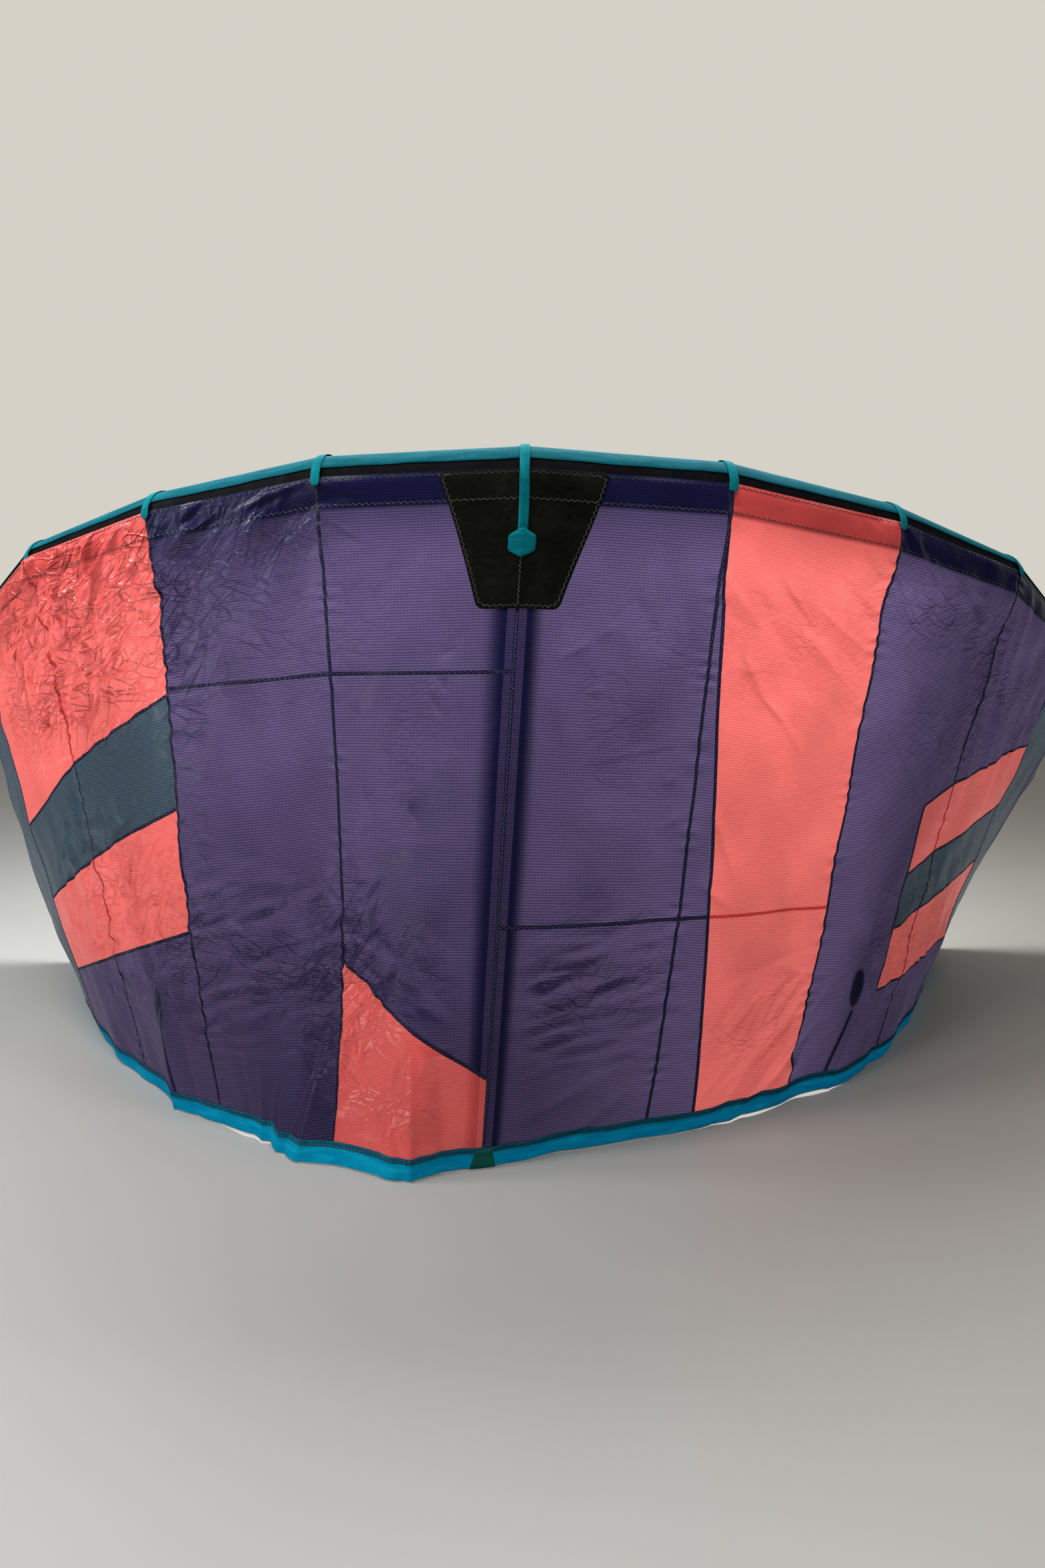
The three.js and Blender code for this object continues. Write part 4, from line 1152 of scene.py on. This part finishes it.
def make_tip_tape(name, side):
    """The edge tape down a wing tip."""
    s = np.sort(side * (SEAMS - np.linspace(0, TIP_TAPE["width"], 5) / PANEL))
    rows = np.linspace(TIP_TAPE["from"], 1, 90)[:, None]
    v = np.where(rows < 0, rows, rows * above_floor(s, TIP_TAPE["foot"]))
    off, thick, node_name = TIP_TAPE["off"], TIP_TAPE["thick"], f"tip_tape_{name}"
    obj = slab(f"tip_edge_{name}", s, v, off, thick, PATCH_BLACK, "patch_cloth", [node_name])


# Struts

STRUTS = {  # stations at the tube and at the tail, radii there, gap to the cloth, height of the tail
    "left": (-2.95, -2.42, 0.056, 0.034, 0.018, 0.205),
    "centre": (0.0, 0.0, 0.060, 0.034, 0.0045, 0.070),
    "right": (2.95, 2.42, 0.056, 0.034, 0.018, 0.205),
}
STRUT_SIDES, STRUT_ROWS = 40, 60
STRUT_START = 0.045  # level under the tube
STRUT_FLAT = math.radians(24)  # half the angle over which the cloth flattens a strut that it touches
STRUT_TAIL = {"rings": 8, "reach": 1.2, "end": 0.03}  # the rounded tail, in radii
STRUT_DARK = {"head": 3, "tail": 5}  # rows of dark cloth at its ends
STRUT_WEAVE = {"along": 0.025, "round": 0.05}  # a row's length and a radius, for the weave's places


def make_strut(name):
    """An inflated strut behind the canopy, with dark ends, flattened where the cloth lies on it."""
    start, end, head, tail, gap, rest = STRUTS[name]
    v = np.linspace(STRUT_START, above_floor(np.array(end), rest), STRUT_ROWS)
    share = (v - v[0]) / (v[-1] - v[0])
    s = start + share * (end - start)
    radius = head + share * (tail - head)
    path, normal = base(s, v), base_normal(s, v)
    along = unit(np.gradient(path, axis=0))
    normal = unit(normal - along * np.sum(along * normal, axis=1, keepdims=True))
    across = np.cross(along, normal)
    touches = name == "centre"
    contact = math.cos(STRUT_FLAT) if touches else 1.0
    path = path + normal * (relief(s, v) * contact * touches - gap - contact * radius)[:, None]

    rings = STRUT_TAIL["rings"]
    dome = np.linspace(0, np.pi / 2, rings + 1)[1:]
    out = along[-1] * radius[-1] * STRUT_TAIL["reach"]
    path = np.concatenate([path, path[-1] + out * np.sin(dome)[:, None]])
    radius = np.concatenate([radius, radius[-1] * np.maximum(np.cos(dome), STRUT_TAIL["end"])])
    normal, across = (np.concatenate([way, np.repeat(way[-1:], rings, 0)]) for way in (normal, across))

    turn = np.linspace(0, 2 * np.pi, STRUT_SIDES, endpoint=False)
    front, side = np.minimum(np.cos(turn), contact)[:, None], np.sin(turn)[:, None]
    points = path[:, None] + radius[:, None, None] * (front * normal[:, None] + side * across[:, None])
    faces = capped_faces(len(points), STRUT_SIDES)
    row = np.arange(len(faces)) // STRUT_SIDES
    dark = (row > STRUT_ROWS - STRUT_DARK["tail"]) | (row < STRUT_DARK["head"])
    down = np.arange(len(points))[:, None] * STRUT_WEAVE["along"]
    uv = np.stack(np.broadcast_arrays(down, turn * STRUT_WEAVE["round"]), -1)
    cloths, stands_for = [STRUT_VIOLET, STRUT_NAVY], [f"strut_{name}"]
    obj = piece(f"strut_tube_{name}", points, faces, cloths, stands_for, uv, dark)
    # Casts no shadow: the centre strut's shade and the wing struts' tails are painted on the canopy instead.
    obj.visible_shadow = False


TAIL_TAPES = {"left": ((-2.42, 0.80), (-2.41, 0.972)), "right": ((2.44, 0.84), (2.29, 0.978))}
TAIL_TAPE = {"width": 0.012, "off": -0.0042, "thick": 0.0012}


def make_tail_tape(name):
    """The narrow tape from a wing strut's tail to the hem, behind the cloth."""
    (s0, v0), (s1, v1) = TAIL_TAPES[name]
    share = np.linspace(0, 1, 24)[:, None]
    half = TAIL_TAPE["width"] / 2
    s = s0 + share * (s1 - s0) + np.linspace(-half, half, 3) / PANEL
    v = v0 + share * (v1 - v0)
    off, thick = TAIL_TAPE["off"], TAIL_TAPE["thick"]
    obj = slab(f"tail_tape_{name}", s, np.broadcast_to(v, s.shape), off, thick, STRUT_NAVY, "strut_cloth")


# Sewing

ZIGZAG = {"pitch": 0.014, "width": 0.005, "thread": 0.0012, "height": 0.0012}
FINE = {"pitch": 0.010, "width": 0.004}  # the stitches down the centre seam
HEM_STITCH = {"pitch": 0.012, "width": 0.003}
SEWN_OFF = 0.0003  # a row of stitches off the cloth
SEWN_LEVELS = (-0.96, 0.965)  # where the seams' rows start and end
EDGE_ROWS = {-0.90: 0.40, -0.16: 0.37}  # rows along the tube: level, and the station beside the patch
EDGE_END = 0.1  # how far from the tips they end, in panels
PATCH_ROW = {"inset": 0.007, "level": -0.16, "half": 0.35}  # the patch's rows: round its edge and across it
PATCH_MIDDLE = (0.075, 0.15)  # levels of the short row below the tab
HEM_ROWS = (HEM - 0.004, HEM - HEM_SEAM + 0.003)  # heights
STRUT_ROW_START = 0.165  # level where the centre seam's row starts
SEAM_POINTS, LEVEL_POINTS, HEM_POINTS = 60, 200, 900  # points of a row's path


def zigzag(path, off=SEWN_OFF, width=ZIGZAG["width"], pitch=ZIGZAG["pitch"]):
    """Points and faces of a row of zigzag stitches along a path laid flat: a small ridge of thread."""
    steps = np.linalg.norm(np.diff(path, axis=0), axis=1)
    run = np.r_[0, np.cumsum(steps)]
    count = max(int(run[-1] / (pitch / 2)), 2)
    at = np.linspace(0, run[-1], count + 1)
    line = np.stack([np.interp(at, run, path[:, i]) for i in range(2)], -1)
    way = unit(np.gradient(line, axis=0))
    side = np.stack([-way[:, 1], way[:, 0]], -1)
    swing = np.where(np.arange(count + 1) % 2, 0.5, -0.5)[:, None] * width
    centre = line + side * swing
    lean = way * ZIGZAG["thread"]
    flat = np.stack([centre - lean, centre, centre + lean], 1)
    s, v = stood_up(flat)
    offs = off + np.array([0.0, ZIGZAG["height"], 0.0])
    points = skin(s, np.clip(v, -1, 1), np.broadcast_to(offs, s.shape))
    return points.reshape(-1, 3), grid_faces(count + 1, 3)


def join_rows(name, rows, material):
    """One piece made of several rows of stitches."""
    points, faces, total = [], [], 0
    for some_points, some_faces in rows:
        points.append(some_points)
        faces.append(some_faces + total)
        total += len(some_points)
    return piece(name, np.vstack(points), np.vstack(faces), [material])


def down_seam(k, start, end):
    return laid_flat(np.full(SEAM_POINTS, float(k)), np.linspace(start, end, SEAM_POINTS))


def level_row(level, start, end):
    return laid_flat(np.linspace(start, end, LEVEL_POINTS), np.full(LEVEL_POINTS, level))


def make_sewing():
    seams = [zigzag(down_seam(k, *SEWN_LEVELS)) for k in range(1 - SEAMS, SEAMS) if k]
    seams += [zigzag(ends) for ends in SLANTED]
    join_rows("seam_sewing", seams, THREAD_NAVY)
    centre = down_seam(0, STRUT_ROW_START, SEWN_LEVELS[1])
    join_rows("strut_sewing", [zigzag(centre, **FINE)], THREAD_BLUE)

    edge = []
    for level, half in EDGE_ROWS.items():
        edge.append(zigzag(level_row(level, -SEAMS + EDGE_END, -half)))
        edge.append(zigzag(level_row(level, half, SEAMS - EDGE_END)))
    off = PATCH_OFF + PATCH_THICK
    outline = patch_places(40, 3, PATCH_ROW["inset"])
    paths = [outline[:, 0], outline[:, -1]]
    paths += [np.linspace(outline[end, 0], outline[end, -1], 40) for end in (0, -1)]
    paths.append(level_row(PATCH_ROW["level"], -PATCH_ROW["half"], PATCH_ROW["half"]))
    edge += [zigzag(path, off) for path in paths]
    edge.append(zigzag(down_seam(0, *PATCH_MIDDLE), off, **FINE))
    join_rows("edge_sewing", edge, THREAD_PALE)

    s = np.linspace(-SEAMS + 0.02, SEAMS - 0.02, HEM_POINTS)
    hem = [laid_flat(s, above_floor(s, height)) for height in HEM_ROWS]
    join_rows("hem_sewing", [zigzag(path, HEM_OUT + 0.0002, **HEM_STITCH) for path in hem], THREAD_NAVY)


# Stage

CAMERA = Vector((-0.010, -3.6277, 1.3761))
CAMERA_DOWN, CAMERA_ROLL = math.radians(9.15), math.radians(-0.42)
CAMERA_LENS, SENSOR = 28.13, 36.0
FLOOR_RADIUS, FLOOR_SIDES = 14.0, 96
CEILING_HEIGHT = 2.75
CEILING = [  # name, place over the floor, watts
    ("ceiling_far_left", -2.3, -0.45, 50),
    ("ceiling_left", -1.2, -1.15, 42),
    ("ceiling_middle", 0.4, -1.20, 24),
    ("ceiling_right", 2.0, -0.85, 14),
]


def make_floor():
    material, tree = new_material("floor")
    place = object_place(tree)
    patchy = spread(tree, noise(tree, place, 0.8, 4.0), 0.0, 1.0)
    # Painted light and shade: the floor is paler at the left and greyer and warmer at the right.
    pale = blend(tree, patchy, rgb((0.285, 0.294, 0.298)), rgb((0.300, 0.309, 0.313)))
    grey = blend(tree, patchy, rgb((0.195, 0.190, 0.180)), rgb((0.210, 0.205, 0.195)))
    across = node(tree, "SeparateXYZ", {0: place}).outputs[0]
    tone = blend(tree, spread(tree, across, 0.0, 1.0, -2.2, 2.2), pale, grey)
    surface(tree, principled(tree, tone, 0.55, 0.3))
    turn = np.linspace(0, 2 * np.pi, FLOOR_SIDES, endpoint=False)
    points = np.stack([np.cos(turn), np.sin(turn), 0 * turn], -1) * FLOOR_RADIUS
    add_object("floor", new_mesh("floor", points, [list(range(FLOOR_SIDES))], [material]))


def make_light(name, place, target, size, watts, glossy=True):
    light = bpy.data.lights.new(name, "AREA")
    light.shape = "RECTANGLE"
    light.size, light.size_y = size
    light.energy = watts
    light.color = (1.0, 0.985, 0.96)
    obj = add_object(name, light)
    obj.location = place
    obj.rotation_euler = (Vector(target) - Vector(place)).to_track_quat("-Z", "Y").to_euler()
    obj.visible_camera = False
    obj.visible_glossy = glossy


def make_stage():
    make_floor()
    world = bpy.data.worlds.new("studio")
    world.use_nodes = True
    tree = world.node_tree
    way = node(tree, "SeparateXYZ", {0: node(tree, "TexCoord").outputs["Generated"]}).outputs[1]
    tree.links.new(spread(tree, way, 0.13, 0.95, -0.4, 0.6), tree.nodes["Background"].inputs["Strength"])
    tree.nodes["Background"].inputs["Color"].default_value = (0.70, 0.672, 0.605, 1)
    scene = bpy.context.scene
    scene.world = world
    scene.view_settings.view_transform = "Standard"
    make_light("inside", (0.25, 1.10, 3.50), (0.1, -0.6, 0.9), (3.0, 1.4), 350)
    for name, x, y, watts in CEILING:
        make_light(name, (x, y, CEILING_HEIGHT), (0.9 * x, y + 0.12, 0.5), (0.6, 0.6), watts)
    make_light("window", (-4.4, -2.2, 1.9), (0.0, -0.5, 0.9), (1.2, 1.4), 90)
    make_light("fill", (0.6, -4.6, 1.0), (0.2, -0.8, 0.5), (3.0, 1.2), 40, glossy=False)
    camera = bpy.data.cameras.new("camera")
    camera.lens = CAMERA_LENS
    camera.sensor_fit = "VERTICAL"
    camera.sensor_height = SENSOR
    obj = add_object("camera", camera)
    tilt = Matrix.Rotation(math.pi / 2 - CAMERA_DOWN, 4, "X") @ Matrix.Rotation(CAMERA_ROLL, 4, "Z")
    obj.matrix_world = Matrix.Translation(CAMERA) @ tilt
    scene.camera = obj


make_stage()
make_tube()
for part, seams in SHEETS.items():
    sheet = make_canopy(part, *seams)
make_edge_tape()
for seam in range(1 - SEAMS, SEAMS):
    make_strap(seam)
make_patch()
make_tab()
make_binding()
make_hem_patch()
for wing, way in (("left", -1), ("right", 1)):
    make_tip_tape(wing, way)
    make_tail_tape(wing)
for strut in STRUTS:
    make_strut(strut)
make_sewing()
